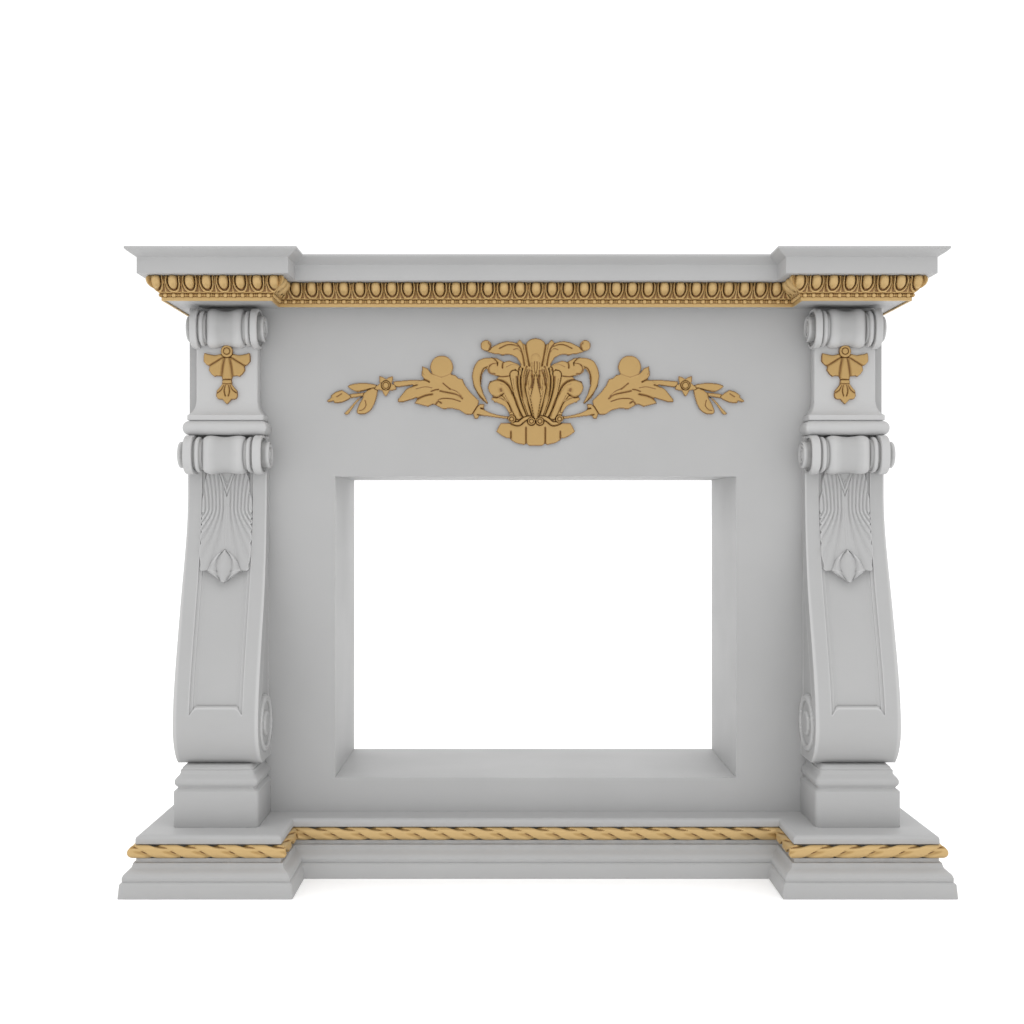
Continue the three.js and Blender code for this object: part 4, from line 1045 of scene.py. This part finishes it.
# Shelf: a thick board with a crown edge and a plain fascia under it, painted. It is glued
# down on the core of the cornice and steps forward over the two pillars.
CORNICE_PLAN = {"outer": 770, "inner": 448.6, "block": -213.1, "middle": -139.7}
shelf_levels = [
    (-18.5, 1156.5), (-18.5, 1186.7), (-17.6, 1187.2),
    *arc((-13.6, 1189.7), (-9, 1192.4), (-5, 1195), (-1.4, 1198.3), 4),
    (0, 1199.9), (0, 1203.5),
]
shelf = stack("crowned_shelf", stepped(CORNICE_PLAN), shelf_levels, edge=0.5)
fit(shelf, "paint", "shelf")


# Egg and dart: carved and gilded lengths glued under the shelf, mitred at the corners. Each
# egg sits in a raised shell, with a dart between two shells, and a row of beads and reels
# runs below over a plain fillet.
MIDDLE_PITCH = 31.3
BLOCK_PITCH = 31.96
BEAD_PITCH = 16.4
BEAD_AXIS = (-54.6, 1121.3)
GILT_BACK = -58.2
GILT_BOTTOM = 1110.9
GILT_TOP = 1156.2
egg_front = np.array([
    (-50, 1125.6), (-47.5, 1126.6), (-42.7, 1129.6), (-38.9, 1132.5), (-35.9, 1135.7),
    (-33.2, 1139.1), (-31, 1142.5), (-28.8, 1147.8), (-28.4, 1152), (-29.4, 1155),
    (-34, 1156.2)])
egg_ground = np.array([
    (-52.4, 1125.8), (-51.4, 1128), (-49.6, 1131.8), (-47.6, 1135.5), (-45.8, 1139),
    (-44.4, 1142.5), (-43.4, 1146), (-43, 1149), (-43.4, 1152), (-44.2, 1154.5),
    (-45, 1156.2)])


def egg_carving(s, share, pitch):
    """How far the carving stands out between its ground (0) and its front (1)."""
    across = np.mod(s + pitch / 2, pitch) - pitch / 2
    down = share * 46 - 27
    q = np.hypot(across / 9.1, down / np.where(down < 0, 17, 26))
    egg = 0.3 + 0.7 * np.sqrt(np.clip(1 - q ** 2, 0, 1))
    rim = 0.32 + 0.42 * np.sqrt(np.clip(1 - ((q - 1.39) / 0.17) ** 2, 0, 1))
    dart = 0.1 + 0.5 * np.clip(1 - (pitch / 2 - np.abs(across)) / 2.2, 0, 1)
    carved = np.where(q < 1, egg, np.where(q < 1.2, 0.0, np.where(q < 1.57, rim, dart)))
    foot = 1 - ease(share, 0.02, 0.12)
    return carved * (1 - foot) + 0.75 * foot


def egg_section(phase, pitch):
    """The moulding's outline: fillet, bead bar, the eggs and darts above it, and the back."""
    def section(s, v):
        row = np.round(v * 40).astype(int)
        share = np.clip((row - 12) / 24, 0, 1)
        along = share * (len(egg_front) - 1)
        steps = np.arange(len(egg_front))
        front = [np.interp(along, steps, egg_front[:, i]) for i in (0, 1)]
        ground = [np.interp(along, steps, egg_ground[:, i]) for i in (0, 1)]
        lift = egg_carving(s - phase * pitch, share, pitch)
        p, z = (g + (f - g) * lift for f, g in zip(front, ground))
        bead = np.mod(s + BEAD_PITCH / 2, BEAD_PITCH) - BEAD_PITCH / 2
        ball = np.sqrt(np.clip(1 - (bead / 4.5) ** 2, 0, 1)) * 4.3
        reel = np.sqrt(np.clip(1 - ((np.abs(bead) - 6.6) / 1.2) ** 2, 0, 1)) * 3.4
        radius = np.maximum(np.maximum(ball, reel), 1.6)
        turn = np.interp(row, [3, 11], [-1.9, 1.5])
        bar = (row >= 3) & (row <= 11)
        p = np.where(bar, BEAD_AXIS[0] + radius * np.cos(turn), p)
        z = np.where(bar, BEAD_AXIS[1] + radius * np.sin(turn), z)
        for index, (fixed_p, fixed_z) in {
                0: (GILT_BACK, GILT_BOTTOM), 1: (-55, GILT_BOTTOM), 2: (-55, 1116.8),
                37: (-50, GILT_TOP), 38: (-54, GILT_TOP), 39: (GILT_BACK, GILT_TOP),
                40: (GILT_BACK, GILT_BOTTOM)}.items():
            p = np.where(row == index, fixed_p, p)
            z = np.where(row == index, fixed_z, z)
        return p, z
    return section


for kind, run in run_lengths(CORNICE_PLAN).items():
    if kind == "middle":
        eggs = carved_length("carved_eggs_middle", run, 1.2, 40, egg_section(0, MIDDLE_PITCH))
        fit(eggs, "gilt", "egg_moulding_middle")
        continue
    phase = 0.5 if kind == "block" else 0
    eggs = carved_length(f"carved_eggs_{kind}_right", run, 1.2, 40, egg_section(phase, BLOCK_PITCH))
    twin = left_hand(eggs, f"carved_eggs_{kind}_left")
    fit(eggs, "gilt", f"egg_moulding_{kind}_right")
    fit(twin, "gilt", f"egg_moulding_{kind}_left")
